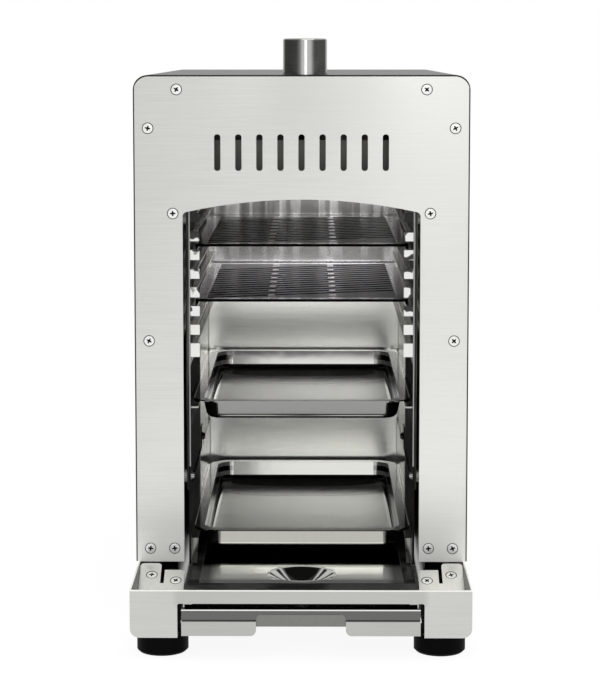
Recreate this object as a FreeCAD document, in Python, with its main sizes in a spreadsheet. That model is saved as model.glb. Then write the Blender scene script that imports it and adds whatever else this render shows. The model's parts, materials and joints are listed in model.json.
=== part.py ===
import FreeCAD, Part
import math
import os
import Sketcher

# Steak grill with heat from above, in millimetres, +Z up.
# Lengths along the depth are counted from the front face of the front panel, with the viewer at -Y.
# Every piece is then shifted by frame_shift, which puts the origin at the middle of the grill's footprint.

doc = FreeCAD.newDocument("steak_grill")
book = doc.addObject("Spreadsheet::Sheet", "sizes")
vector = FreeCAD.Vector
pieces = []
rows = []


# Sizes

class Size:
    """A number, and the text that works it out from the cells of the sheet."""

    def __init__(self, number, text):
        self.number = float(number)
        self.text = text

    def __add__(self, other):
        other = sized(other)
        return Size(self.number + other.number, f"({self.text} + {other.text})")

    def __sub__(self, other):
        other = sized(other)
        return Size(self.number - other.number, f"({self.text} - {other.text})")

    def __mul__(self, other):
        other = sized(other)
        return Size(self.number * other.number, f"({self.text} * {other.text})")

    def __truediv__(self, other):
        other = sized(other)
        return Size(self.number / other.number, f"({self.text} / {other.text})")

    def __radd__(self, other):
        return sized(other) + self

    def __rsub__(self, other):
        return sized(other) - self

    def __rmul__(self, other):
        return sized(other) * self

    def __neg__(self):
        return Size(-self.number, f"(0 - {self.text})")

    def sine(self):
        return Size(math.sin(math.radians(self.number)), f"sin({self.text} * 1 deg)")

    def cosine(self):
        return Size(math.cos(math.radians(self.number)), f"cos({self.text} * 1 deg)")


def sized(value):
    return value if isinstance(value, Size) else Size(value, repr(float(value)))


def size(alias, value, meaning):
    """One driving size: a row of the sheet with its name, its plain number and what it is."""
    rows.append(alias)
    book.set(f"A{len(rows)}", alias)
    book.set(f"B{len(rows)}", str(value))
    book.set(f"C{len(rows)}", meaning)
    book.setAlias(f"B{len(rows)}", alias)
    return Size(value, f"sizes.{alias}")


# Casing and front panel
body_width = size("body_width", 240, "width of the casing and of the front panel")
body_depth = size("body_depth", 410, "front face of the front panel to the back of the casing")
body_top = size("body_top", 401, "top of the casing above the ground")
rim_step = size("rim_step", 1, "casing's top rim stands this much above the front panel")
panel_inset = size("panel_inset", 0.6, "casing stands out this much beside the front panel")
corner_round = size("corner_round", 10.5, "rounding of the casing's two upper edges")
panel_foot_round = size("panel_foot_round", 2, "rounding of the front panel's lower corners")
casing_sheet = size("casing_sheet", 1, "sheet of the casing and the back panel")
panel_sheet = size("panel_sheet", 1.5, "sheet of the front panel")
flange_gap = size("flange_gap", 0.9, "side frame to the flange that the front and back panels are screwed to")
casing_foot_flange = size("casing_foot_flange", 10, "flange along the casing's lower edges")
side_band = size("side_band", 35, "side of the casing to the edge of the arched opening")
arch_drop = size("arch_drop", 88.5, "top of the casing to the top of the arch")
arch_rise = size("arch_rise", 9.5, "height of the top of the arch above its two ends")
shoulder_round = size("shoulder_round", 3.6, "rounding where the arch meets the sides of the opening")
vent_count = size("vent_count", 9, "slots in the vent at the top of the front panel")
vent_pitch = size("vent_pitch", 15, "distance between two slots of that vent")
vent_slot_width = size("vent_slot_width", 4.5, "width of a slot of that vent")
vent_slot_height = size("vent_slot_height", 26, "height of a slot of that vent")
vent_slot_round = size("vent_slot_round", 2, "rounding of a slot's ends in that vent")
vent_drop = size("vent_drop", 55, "top of the casing to the middle of that vent")

back_vent_in = size("back_vent_in", 14, "middle of the back panel to its two rows of slots")
back_vent_width = size("back_vent_width", 62, "length of a slot in the back panel")
back_vent_slot = size("back_vent_slot", 4, "height of a slot in the back panel")
back_vent_pitch = size("back_vent_pitch", 11, "distance between two slots in the back panel")
back_vent_count = size("back_vent_count", 6, "slots in a row of the back panel")
back_vent_drop = size("back_vent_drop", 111, "top of the casing to the lowest slots in the back panel")

# Base
base_inset = size("base_inset", 2, "side of the casing to the side of the base tray")
base_overhang = size("base_overhang", 80, "base tray in front of the front panel")
base_rim = size("base_rim", 49, "height of the base tray's rim")
foot_height = size("foot_height", 15.4, "height of a rubber foot")
foot_round = size("foot_round", 36, "diameter of a rubber foot")
foot_bevel = size("foot_bevel", 1.6, "bevel round the bottom of a foot")
foot_recess = size("foot_recess", 5.2, "depth of the recess under a foot")
recess_play = size("recess_play", 1, "clearance round the screw's head in that recess")
foot_inset_x = size("foot_inset_x", 21, "side of the base tray to the axis of a foot")
foot_inset_y = size("foot_inset_y", 25, "front or back of the base tray to the axis of a foot")
base_round = size("base_round", 6.5, "rounding of the base tray's long lower edges")
base_sheet = size("base_sheet", 1.2, "sheet of the base tray")
base_lip = size("base_lip", 10, "flange on the base tray's rim, under the casing")
mouth_play = size("mouth_play", 0.2, "edge of the arched opening to the side of the drawer's mouth")
mouth_round = size("mouth_round", 1.4, "rounding of the mouth's upper corners")
lintel_height = size("lintel_height", 9.6, "front wall left above the drawer's mouth")
floor_opening = size("floor_opening", 300, "length of the opening in the base tray's floor")

# Sloping plates beside the drain tray
apron_slope = size("apron_slope", 25, "slope of the plates, in degrees")
apron_drop = size("apron_drop", 1, "top edge of the plates below the rim")
apron_sheet = size("apron_sheet", 1.2, "sheet of the plates")
apron_slot_in = size("apron_slot_in", 15.8, "inner edge of a plate to its slot")
apron_slot_width = size("apron_slot_width", 2.6, "width of that slot")
apron_slot_length = size("apron_slot_length", 22.3, "length of that slot")
apron_step = size("apron_step", 7.5, "inner tongue of a plate starts this much lower")
apron_round = size("apron_round", 3, "rounding of the tongues' corners")
apron_screw_out = size("apron_screw_out", 8.8, "outer edge of a plate to its outer screw")
apron_screw_in = size("apron_screw_in", 6, "inner edge of a plate to its inner screw")
apron_screw_high = size("apron_screw_high", 13, "top edge to the outer screw, along the slope")
apron_screw_low = size("apron_screw_low", 19.2, "top edge to the inner screw, along the slope")
apron_screw_length = size("apron_screw_length", 6.2, "length of a plate's screws")

# Screws
screw_head = size("screw_head", 8, "diameter of a countersunk head")
screw_shank = size("screw_shank", 4, "diameter of a screw's shank")
screw_length = size("screw_length", 9, "length of a panel screw")
screw_sink = size("screw_sink", 1.1, "depth of a countersunk head")
countersink = size("countersink", 120, "angle of a countersunk head, in degrees")
screw_dome = size("screw_dome", 2.2, "height of a domed screw head on the back")
foot_head = size("foot_head", 2, "height of a foot screw's head")
nut_round = size("nut_round", 8, "width of a nut across its corners")
nut_height = size("nut_height", 3.2, "height of a nut")
thread_past = size("thread_past", 0.8, "foot screws stand out above their nuts")
head_taper = size("head_taper", 30, "slope of a domed head's side from the screw's axis, in degrees")
screw_play = size("screw_play", 0.15, "clearance all round a screw")
screw_edge = size("screw_edge", 10.5, "side of the casing to the outer row of panel screws")
screw_top_in = size("screw_top_in", 31, "side of the casing to the two top screws")
screw_inner_out = size("screw_inner_out", 7, "edge of the opening to the inner panel screws")
screw_top_drop = size("screw_top_drop", 10.2, "top of the casing to the two top screws")
screw_upper_drop = size("screw_upper_drop", 37.7, "top of the casing to the outer row's upper screws")
screw_arch_drop = size("screw_arch_drop", 0.5, "ends of the arch to the screws beside it")
screw_middle_z = size("screw_middle_z", 210.7, "height of the outer row's middle screws")
screw_low_rise = size("screw_low_rise", 9.8, "lower edge of the front panel to the lowest screws")

# Chamber
frame_play = size("frame_play", 3.4, "edge of the opening to a side frame's inner face")
frame_sheet = size("frame_sheet", 1.2, "sheet of the side frames")
frame_flange = size("frame_flange", 9.5, "width of a side frame's flanges")
frame_end = size("frame_end", 331, "front panel to the back end of the side frames")
frame_drop = size("frame_drop", 86.8, "top of the casing to the top of the side frames")
back_wall_at = size("back_wall_at", 319, "front panel to the chamber's back wall")
back_wall_low = size("back_wall_low", 41, "lower edge of the chamber's back wall")
roof_sheet = size("roof_sheet", 1.2, "sheet of the chamber's roof and walls")

# Racks for the grates
rack_front = size("rack_front", 24, "front panel to the racks' front flanges")
rack_end = size("rack_end", 310, "front panel to the racks' back edges")
rack_play = size("rack_play", 5.4, "inner face of a side frame to that of its rack")
rack_sheet = size("rack_sheet", 1.2, "sheet of the racks")
rack_low = size("rack_low", 97, "lower edge of the racks")
rack_drop = size("rack_drop", 2.4, "top of the side frames to the top of the racks")
rack_tooth = size("rack_tooth", 8.6, "width of the front flange between the slots")
rack_border = size("rack_border", 1.6, "width of the front flange outside the slots")
teeth_past = size("teeth_past", 10, "lowest ledge to the lower end of the front flange's teeth")
level_drop = size("level_drop", 10.4, "top of a rack to its highest ledge")
level_web = size("level_web", 7, "sheet between a ledge and the slot under it")
level_count = size("level_count", 8, "ledges on each rack")
level_slot = size("level_slot", 5.5, "height of the slot above each ledge")
level_mouth = size("level_mouth", 6.4, "height of the cut in the front flange above each ledge")
ledge_width = size("ledge_width", 6.8, "width of a ledge")
ledge_length = size("ledge_length", 272, "length of a ledge and of its slot")
sleeve_round = size("sleeve_round", 9, "diameter of the sleeves behind the racks")
bolt_round = size("bolt_round", 4, "diameter of the rack bolts")
bolt_head_play = size("bolt_head_play", 0.2, "a rack bolt's domed head to the slot or ledge beside it")
bolt_head_high = size("bolt_head_high", 2.3, "height of that head")
bolt_past = size("bolt_past", 4, "bolts stand out behind the side frames")
bolt_front = size("bolt_front", 35, "front panel to the front rack bolts")
bolt_back = size("bolt_back", 195, "front panel to the back rack bolts")
bolt_low = size("bolt_low", 105, "height of the lower rack bolts")

# Lower guides, pan runners and drawer runners
guide_low = size("guide_low", 41, "lower edge of the lower guides")
guide_ear = size("guide_ear", 114, "top of the lower guides' ears")
guide_ear_width = size("guide_ear_width", 18, "width of an ear")
ear_round = size("ear_round", 3, "rounding of an ear")
guide_sheet = size("guide_sheet", 1.2, "sheet of the guides and runners")
ledge_play = size("ledge_play", 0.1, "clearance between a ledge and what lies on it")
runner_leg = size("runner_leg", 18, "height of a pan runner's leg")
runner_ledge = size("runner_ledge", 7, "width of a pan runner's ledge")
runner_front = size("runner_front", 28, "front panel to the front end of the pan runners")
slide_length = size("slide_length", 272, "length of the drawer runners")
slide_gap = size("slide_gap", 0.2, "clearance between a drawer runner and its guide")

# Grates
grate_play = size("grate_play", 4, "rack to the side of a grate")
grate_depth = size("grate_depth", 262, "depth of a grate")
grate_front = size("grate_front", 50, "front panel to the front edge of a grate")
grate_sheet = size("grate_sheet", 2, "thickness of a grate")
grate_round = size("grate_round", 4, "rounding of a grate's corners")
upper_grate_level = size("upper_grate_level", 2, "ledges between the upper grate and the highest one")
lower_grate_level = size("lower_grate_level", 5, "ledges between the lower grate and the highest one")
slot_slant = size("slot_slant", 18.5, "slant of a grate's slots, in degrees")
slot_width = size("slot_width", 6.2, "width of a slot, along the depth")
slot_pitch = size("slot_pitch", 15, "distance between two slots, along the depth")
slot_pairs = size("slot_pairs", 7, "pairs of slots in a grate")
slot_margin = size("slot_margin", 8.5, "side of a grate to the ends of its slots")
slot_bridge_at = size("slot_bridge_at", 23, "middle of a grate to the bridge in a slot")
slot_bridge = size("slot_bridge", 5, "width of that bridge")

# Pans
pan_play = size("pan_play", 2, "rack to the side of a pan")
pan_length = size("pan_length", 265, "length of a pan over its rim")
pan_front = size("pan_front", 45, "front panel to the front edge of a pan")
pan_depth = size("pan_depth", 15, "depth of a pan")
pan_sheet = size("pan_sheet", 1, "sheet of a pan")
pan_rim = size("pan_rim", 6.5, "width of a pan's rim")
pan_corner = size("pan_corner", 20, "rounding of a pan's corners")
pan_taper = size("pan_taper", 13, "slope of a pan's walls, in degrees")
pan_bend = size("pan_bend", 5, "rounding between a pan's walls and bottom")
upper_pan_top = size("upper_pan_top", 159.3, "height of the upper pan's rim")
lower_pan_top = size("lower_pan_top", 61.9, "height of the lower pan's rim")

# Drain tray
drain_front = size("drain_front", 24, "drain tray in front of the front panel")
drain_end = size("drain_end", 312, "front panel to the back of the drain tray")
drain_play = size("drain_play", 0.4, "lower guide to the side of the drain tray")
drain_low = size("drain_low", 39.4, "underside of the drain tray")
drain_wall = size("drain_wall", 2.4, "height of the drain tray's wall")
drain_round = size("drain_round", 6, "rounding of the drain tray's corners")
drain_sheet = size("drain_sheet", 1, "sheet of the drain tray")
funnel_radius = size("funnel_radius", 25, "radius of the round funnel")
funnel_back = size("funnel_back", -2, "front panel to the middle of the funnel")
funnel_drop = size("funnel_drop", 5.4, "depth of the funnel")
funnel_hole = size("funnel_hole", 4, "radius of the hole in the funnel")
cover_gap = size("cover_gap", 1, "drain tray to the cover in front of it")
cover_drop = size("cover_drop", 2, "rim of the base tray to the top of that cover")

# Drawer
drawer_gap = size("drawer_gap", 2.7, "side of the mouth to the side of the drawer's front")
drawer_height = size("drawer_height", 19, "height of the drawer's front")
drawer_drop = size("drawer_drop", 1.3, "lower edge of the drawer above that of the base tray")
drawer_sheet = size("drawer_sheet", 1.2, "sheet of the drawer's front")
drawer_bead = size("drawer_bead", 1.4, "height of the bead along the drawer's top edge")
drawer_lip = size("drawer_lip", 10, "height of the drawer's lower lip")
drawer_jog = size("drawer_jog", 1.6, "lower lip and bead stand this much proud")
jog_slope = size("jog_slope", 1, "height over which the drawer's front steps back")
bead_back = size("bead_back", 0.4, "bead stands this much behind the lower lip")
bead_slope = size("bead_slope", 0.6, "height over which the bead steps forward")
notch_width = size("notch_width", 62, "width of the finger notch")
notch_height = size("notch_height", 14.8, "height of the finger notch")
notch_round = size("notch_round", 4.1, "rounding of the finger notch's corners")
tray_side_play = size("tray_side_play", 0.5, "drawer runner to the edge of the tray's flange")
tray_length = size("tray_length", 250, "length of the drawer's tray")
tray_low = size("tray_low", 22.6, "underside of the drawer's tray")
tray_top = size("tray_top", 31, "rim of the drawer's tray")
tray_flange = size("tray_flange", 4.9, "flange that the tray hangs by")
tray_sheet = size("tray_sheet", 1, "sheet of the drawer's tray")
tray_round = size("tray_round", 4, "rounding of the tray's corners")
tray_lead = size("tray_lead", 2, "front of the tray to the front end of its flanges")
runner_leg_play = size("runner_leg_play", 0.6, "tray's side to the legs of the drawer runners")
tray_play = size("tray_play", 0.35, "clearance between the tray's flange and its runner")

# Burner and gas parts
burner_width = size("burner_width", 150, "width of the burner's housing")
burner_depth = size("burner_depth", 210, "depth of the burner's housing")
burner_front = size("burner_front", 60, "front panel to the burner's housing")
burner_height = size("burner_height", 37, "height of the burner's housing")
burner_flange = size("burner_flange", 8, "flange round the burner's housing")
burner_round = size("burner_round", 6, "corner rounding of the burner's housing")
tile_height = size("tile_height", 13, "thickness of the ceramic tiles")
tile_rest = size("tile_rest", 5, "roof that the tiles lie on, all round")
tile_play = size("tile_play", 0.4, "clearance round the tiles")
guard_hole = size("guard_hole", 18, "width of an opening of the burner's guard")
guard_pitch = size("guard_pitch", 24, "distance between two openings of the guard")
guard_across = size("guard_across", 5, "openings of the guard, across")
guard_along = size("guard_along", 8, "openings of the guard, along")
mixer_radius = size("mixer_radius", 11, "outer radius of the mixing tube")
mixer_wall = size("mixer_wall", 1, "wall of the mixing tube")
mixer_front = size("mixer_front", 70, "front panel to the mouth of the mixing tube")
mixer_length = size("mixer_length", 86, "mouth of the mixing tube to its bend")
mixer_bend = size("mixer_bend", 18, "radius of the mixing tube's bend")
flare_out = size("flare_out", 2.5, "rim of the mixing tube's mouth beyond its wall")
flare_rim = size("flare_rim", 1.2, "thickness of that rim")
flare_length = size("flare_length", 4, "length of the thickened mouth")
knob_x = size("knob_x", 2.4, "middle of the grill to the knob's axis")
knob_y = size("knob_y", 30, "front panel to the knob's axis")
knob_radius = size("knob_radius", 16, "radius of the knob")
knob_rise = size("knob_rise", 26, "knob above the casing")
knob_sunk = size("knob_sunk", 6, "knob below the top of the casing")
knob_edge = size("knob_edge", 1.6, "rounding of the knob's top edge")
knob_play = size("knob_play", 0.8, "clearance round the knob")
knob_bore_depth = size("knob_bore_depth", 14, "depth of the recess under the knob")
knob_bore_radius = size("knob_bore_radius", 9.5, "radius of the recess under the knob")
press_travel = size("press_travel", 3, "how far the knob can be pushed in")
stem_radius = size("stem_radius", 4, "radius of the valve's stem")
knob_crown = size("knob_crown", 7, "knob above the end of the stem")
stem_length = size("stem_length", 40, "length of the valve's stem")
stem_play = size("stem_play", 0.1, "clearance round the stem")
stem_end_play = size("stem_end_play", 0.5, "space under the stem when it is pushed in")
stem_flat = size("stem_flat", 1.2, "depth of the flat on the stem")
key_half = size("key_half", 2.4, "half the width of the key that meets that flat")
key_sunk = size("key_sunk", 0.5, "depth of the key in the knob's wall")
bracket_drop = size("bracket_drop", 11, "top of the casing to the top of the valve's bracket")
bracket_sheet = size("bracket_sheet", 1.2, "sheet of the valve's bracket")
bracket_half = size("bracket_half", 24, "half the width of the bracket's middle")
bracket_foot = size("bracket_foot", 10, "width of the bracket's two feet")
bracket_depth = size("bracket_depth", 24, "depth of the valve's bracket")
valve_width = size("valve_width", 28, "width of the valve's body")
valve_depth = size("valve_depth", 24, "depth of the valve's body")
valve_height = size("valve_height", 20, "height of the valve's body")
block_round = size("block_round", 4, "rounding of the valve's body and of the burner's guard")
valve_neck = size("valve_neck", 6.8, "height of the valve's neck")
valve_neck_radius = size("valve_neck_radius", 8, "radius of the valve's neck")
port_radius = size("port_radius", 6, "radius of the valve's two ports")
port_reach = size("port_reach", 7, "length of the valve's two ports")
pipe_radius = size("pipe_radius", 4, "outer radius of the gas pipe")
pipe_wall = size("pipe_wall", 1, "wall of the gas pipe")
pipe_bend = size("pipe_bend", 16, "radius of the gas pipe's bend")
inlet_x = size("inlet_x", 60, "middle of the grill to the gas inlet")
inlet_radius = size("inlet_radius", 6.58, "outer radius of the inlet's thread")
inlet_reach = size("inlet_reach", 12, "inlet behind the casing")
inlet_hex = size("inlet_hex", 18, "width of the inlet's hexagon across its corners")
inlet_spigot = size("inlet_spigot", 6, "length of the inlet's spigot, which the pipe joins")
inlet_hex_length = size("inlet_hex_length", 6, "length of the inlet's hexagon")
thread_bevel = size("thread_bevel", 0.8, "bevel at the end of the inlet's thread")
thread_start = size("thread_start", 0.3, "back panel to the start of the inlet's thread")
nozzle_end = size("nozzle_end", 2.5, "radius of the nozzle's small end")
nozzle_length = size("nozzle_length", 14, "length of the nozzle")
nozzle_hex = size("nozzle_hex", 5.6, "length of the nozzle's wide part")
nozzle_neck = size("nozzle_neck", 4, "radius of the nozzle's narrow part")
nozzle_tip = size("nozzle_tip", 3, "length of the nozzle's cone")
nozzle_bore = size("nozzle_bore", 0.8, "radius of the nozzle's bore")
probe_y = size("probe_y", 42, "front panel to the electrode and the thermocouple")
probe_x = size("probe_x", 40, "middle of the grill to the electrode and the thermocouple")
probe_radius = size("probe_radius", 3, "radius of the electrode's ceramic")
probe_above = size("probe_above", 30.8, "electrode and thermocouple above the side frames")
probe_below = size("probe_below", 3.2, "lower end of the electrode's ceramic below the side frames' top")
probe_tip = size("probe_tip", 2, "length of the wire below the ceramic")
probe_wire = size("probe_wire", 0.8, "radius of that wire")
collar_out = size("collar_out", 2, "width of the collar round a probe")
collar_height = size("collar_height", 4, "height of that collar")
probe_plate = size("probe_plate", 16, "depth of the plate that holds the probes")
probe_plate_past = size("probe_plate_past", 10, "probe's axis to the end of that plate")
spring_radius = size("spring_radius", 6.6, "radius of the stem spring's coil")
spring_wire = size("spring_wire", 0.6, "half the width of the stem spring's square wire")
spring_turns = size("spring_turns", 4, "turns of the stem spring")
seat_gap = size("seat_gap", 0.2, "small gap between pieces that are fastened side by side")

frame_shift = (base_overhang - body_depth - inlet_reach) / 2
past = sized(1)  # a cut starts or ends this far outside the piece
body_half = body_width / 2
panel_half = body_half - panel_inset
panel_top = body_top - rim_step
opening_width = body_width - 2 * side_band
opening_peak = body_top - arch_drop
opening_shoulder = opening_peak - arch_rise
vent_height = body_top - vent_drop
back_vent_low = body_top - back_vent_drop

base_half = body_half - base_inset
floor_top = foot_height + base_sheet
lintel = base_rim - lintel_height
mouth_width = opening_width + 2 * mouth_play

frame_inner = opening_width / 2 + frame_play
frame_top = body_top - frame_drop
casing_flange = body_half - casing_sheet - flange_gap - frame_inner - frame_sheet - frame_flange
rack_inner = frame_inner - rack_play
rack_top = frame_top - rack_drop
level_top = rack_top - level_drop
level_pitch = level_slot + rack_sheet + level_web
rack_tooth_low = level_top - level_pitch * (level_count - 1) - teeth_past
bolt_head = level_web - 2 * bolt_head_play

screw_outer_x = body_half - screw_edge
screw_top_x = body_half - screw_top_in
screw_inner_x = opening_width / 2 + screw_inner_out
screw_top_z = body_top - screw_top_drop
screw_upper_z = body_top - screw_upper_drop
screw_arch_z = opening_shoulder - screw_arch_drop
screw_low_z = base_rim + screw_low_rise

grate_width = 2 * (rack_inner - grate_play)
slot_reach = grate_width / 2 - slot_margin
pan_width = 2 * (rack_inner - pan_play)
drain_half = rack_inner - guide_sheet - drain_play
drawer_width = mouth_width - 2 * drawer_gap
drawer_back = drawer_jog + drawer_sheet - base_overhang
runner_web = rack_inner - 2 * guide_sheet - slide_gap
tray_half = runner_web - tray_side_play - tray_flange

bracket_top = body_top - bracket_drop
gas_level = bracket_top - bracket_sheet - valve_neck - valve_height / 2
roof_top = frame_top + roof_sheet
housing_top = roof_top + burner_height
probe_top = frame_top + probe_above
probe_low = frame_top - probe_below
stem_top = body_top + knob_rise - knob_crown
knob_low = body_top - knob_sunk
recess_top = knob_low + knob_bore_depth
inlet_inner = casing_sheet + inlet_hex_length + inlet_spigot
doc.recompute()


# Helpers

PLANES = {"XY": ("XY_Plane", 1), "XZ": ("XZ_Plane", -1), "YZ": ("YZ_Plane", 1)}


def bind(thing, path, value):
    """Tie a property to the sheet, or set it when the value is a bare number."""
    thing.setExpression(path, sized(value).text)


def fix(sketch, geometry, point, x, y):
    """Hold a sketch's point at x, y."""
    for kind, value in (("DistanceX", sized(x)), ("DistanceY", sized(y))):
        index = sketch.addConstraint(Sketcher.Constraint(kind, geometry, point, value.number))
        bind(sketch, f"Constraints[{index}]", value)


def circle(sketch, x, y, radius):
    x, y, radius = sized(x), sized(y), sized(radius)
    shape = Part.Circle(vector(x.number, y.number, 0), vector(0, 0, 1), radius.number)
    index = sketch.addGeometry(shape, False)
    fix(sketch, index, 3, x, y)
    limit = sketch.addConstraint(Sketcher.Constraint("Radius", index, radius.number))
    bind(sketch, f"Constraints[{limit}]", radius)


def corner_points(before, corner, after, radius):
    """Both ends and the middle of the arc that rounds a corner."""
    back = (before - corner).normalize()
    onward = (after - corner).normalize()
    half = back.getAngle(onward) / 2
    reach = radius / math.tan(half)
    toward_centre = (back + onward).normalize()
    centre = corner + toward_centre * (radius / math.sin(half))
    return corner + back * reach, centre - toward_centre * radius, corner + onward * reach


def add_arc(sketch, start, through, end):
    """An arc, kept anticlockwise; gives its index and which of its ends is the start and the end."""
    first, second = through - start, end - through
    if first.cross(second).z > 0:
        return sketch.addGeometry(Part.Arc(start, through, end), False), 1, 2
    return sketch.addGeometry(Part.Arc(end, through, start), False), 2, 1


def outline(sketch, corners, rounds=None):
    """A closed outline through its corners; rounds gives the radius of those that are rounded."""
    rounds = rounds or {}
    corners = [(sized(x), sized(y)) for x, y in corners]
    places = [vector(x.number, y.number, 0) for x, y in corners]
    count = len(places)
    ends = []
    for i, place in enumerate(places):
        if i in rounds:
            radius = sized(rounds[i]).number
            ends.append(corner_points(places[i - 1], place, places[(i + 1) % count], radius))
        else:
            ends.append((place, None, place))
    lines = []
    for i in range(count):
        line = Part.LineSegment(ends[i][2], ends[(i + 1) % count][0])
        lines.append(sketch.addGeometry(line, False))
    for i, (x, y) in enumerate(corners):
        before, after = lines[i - 1], lines[i]
        if i not in rounds:
            sketch.addConstraint(Sketcher.Constraint("Coincident", before, 2, after, 1))
            fix(sketch, after, 1, x, y)
            continue
        radius = sized(rounds[i])
        arc, first, last = add_arc(sketch, *ends[i])
        sketch.addConstraint(Sketcher.Constraint("Tangent", before, 2, arc, first))
        sketch.addConstraint(Sketcher.Constraint("Tangent", after, 1, arc, last))
        limit = sketch.addConstraint(Sketcher.Constraint("Radius", arc, radius.number))
        bind(sketch, f"Constraints[{limit}]", radius)
        corner = sketch.addGeometry(Part.Point(places[i]), True)
        sketch.addConstraint(Sketcher.Constraint("PointOnObject", corner, 1, before))
        sketch.addConstraint(Sketcher.Constraint("PointOnObject", corner, 1, after))
        fix(sketch, corner, 1, x, y)


def rectangle(sketch, x_from, x_to, y_from, y_to, radius=None):
    corners = [(x_from, y_from), (x_from, y_to), (x_to, y_to), (x_to, y_from)]
    outline(sketch, corners, {i: radius for i in range(4)} if radius else None)


class Piece:
    """One sub-part: a body, its place, and the features that make it, one after another."""

    def __init__(self, label, x=0, y=0, z=0, tilt=None):
        self.body = doc.addObject("PartDesign::Body", label)
        self.body.Label = label
        if tilt:
            self.body.Placement = FreeCAD.Placement(vector(), FreeCAD.Rotation(vector(1, 0, 0), tilt.number))
            bind(self.body, "Placement.Rotation.Angle", tilt)
        bind(self.body, "Placement.Base.x", x)
        bind(self.body, "Placement.Base.y", y + frame_shift)
        bind(self.body, "Placement.Base.z", z)
        self.planes = {item.Role: item for item in self.body.Origin.OriginFeatures}
        self.count = 0
        pieces.append(self.body)

    def name(self, kind):
        self.count += 1
        return f"{self.body.Label}_{kind}_{self.count}"

    def sketch(self, plane, at=0):
        """A sketch square to one axis, at a distance along that axis."""
        role, way = PLANES[plane]
        drawing = self.body.newObject("Sketcher::SketchObject", self.name("sketch"))
        drawing.AttachmentSupport = [(self.planes[role], "")]
        drawing.MapMode = "FlatFace"
        bind(drawing, "AttachmentOffset.Base.z", sized(at) * way)
        return drawing

    def plane_way(self, sketch):
        """+1 where a sketch's own normal points along its axis, else -1."""
        role = sketch.AttachmentSupport[0][0].Role
        return -1 if role == "XZ_Plane" else 1

    def volume(self):
        return self.body.Shape.Volume if self.body.Tip else 0

    def add(self, kind, sketch, length, toward=1):
        """Pad a sketch along its axis, toward +1 or -1."""
        before = self.volume()
        feature = self.body.newObject("PartDesign::Pad", self.name(kind))
        feature.Profile = sketch
        bind(feature, "Length", length)
        feature.Reversed = toward != self.plane_way(sketch)
        doc.recompute()
        if self.volume() <= before:
            raise ValueError(f"{feature.Name} adds nothing")
        return feature

    def cut(self, kind, sketch, length, toward=1):
        """Pocket a sketch along its axis, toward +1 or -1."""
        before = self.volume()
        feature = self.body.newObject("PartDesign::Pocket", self.name(kind))
        feature.Profile = sketch
        bind(feature, "Length", length)
        feature.Reversed = toward == self.plane_way(sketch)
        doc.recompute()
        if self.volume() >= before:
            raise ValueError(f"{feature.Name} cuts nothing")
        return feature

    def turn(self, kind, sketch, axis="V_Axis", groove=False):
        """Revolve a sketch once round one of its own axes, as material or as a groove."""
        before = self.volume()
        family = "PartDesign::Groove" if groove else "PartDesign::Revolution"
        feature = self.body.newObject(family, self.name(kind))
        feature.Profile = sketch
        feature.ReferenceAxis = (sketch, [axis])
        feature.Angle = 360
        doc.recompute()
        if (self.volume() < before) != groove:
            raise ValueError(f"{feature.Name} changes nothing")
        return feature

    def edges(self, test):
        """Names of the edges of the shape so far that pass a test."""
        found = enumerate(self.body.Tip.Shape.Edges, 1)
        return [f"Edge{i}" for i, edge in found if test(edge)]

    def fillet(self, radius, test):
        base = self.body.Tip
        names = self.edges(test)
        if not names:
            raise ValueError(f"{self.body.Label} has no edge to round")
        feature = self.body.newObject("PartDesign::Fillet", self.name("fillet"))
        feature.Base = (base, names)
        bind(feature, "Radius", radius)
        doc.recompute()
        return feature

    def repeat(self, features, axis, pitch, count):
        """Repeat features along an axis; pitch may be negative."""
        pitch, count = sized(pitch), sized(count)
        before = self.volume()
        feature = self.body.newObject("PartDesign::LinearPattern", self.name("pattern"))
        feature.Originals = features
        feature.Direction = (self.planes[axis], [""])
        feature.Reversed = pitch.number < 0
        span = pitch * (count - 1)
        bind(feature, "Length", -span if pitch.number < 0 else span)
        bind(feature, "Occurrences", count)
        self.body.Tip = feature
        doc.recompute()
        if self.volume() == before:
            raise ValueError(f"{feature.Name} repeats nothing")
        return feature

    def screw_holes(self, places, plane, at, toward, countersunk=True):
        """Clearance holes for screws, with room for a countersunk head when asked."""
        drill = self.sketch(plane, at)
        for x, y in places:
            circle(drill, x, y, screw_shank / 2 + screw_play)
        doc.recompute()
        if not countersunk:
            return self.cut("screw_holes", drill, 3 * panel_sheet, toward)
        before = self.volume()
        hole = self.body.newObject("PartDesign::Hole", self.name("screw_holes"))
        hole.Profile = drill
        hole.DepthType = "ThroughAll"
        hole.Reversed = toward == self.plane_way(drill)
        hole.Threaded = False
        bind(hole, "Diameter", screw_shank + 2 * screw_play)
        hole.HoleCutType = "Countersink"
        hole.HoleCutCustomValues = True
        bind(hole, "HoleCutDiameter", screw_head + 2 * screw_play)
        bind(hole, "HoleCutCountersinkAngle", countersink)
        doc.recompute()
        if self.volume() >= before:
            raise ValueError(f"{hole.Name} cuts nothing")
        return hole


def straight(edge):
    return isinstance(edge.Curve, (Part.Line, Part.LineSegment))


def along(edge, axis):
    """True for a straight edge parallel to an axis."""
    if not straight(edge):
        return False
    tangent = edge.tangentAt(edge.FirstParameter)
    return abs(abs(tangent.dot(axis)) - 1) < 1e-6


def middle(edge):
    return edge.valueAt((edge.FirstParameter + edge.LastParameter) / 2)


def near(number, value):
    return abs(number - sized(value).number) < 1e-3


X_AXIS, Y_AXIS, Z_AXIS = vector(1, 0, 0), vector(0, 1, 0), vector(0, 0, 1)
SIDES = {"left": -1, "right": 1}


# Base

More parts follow.
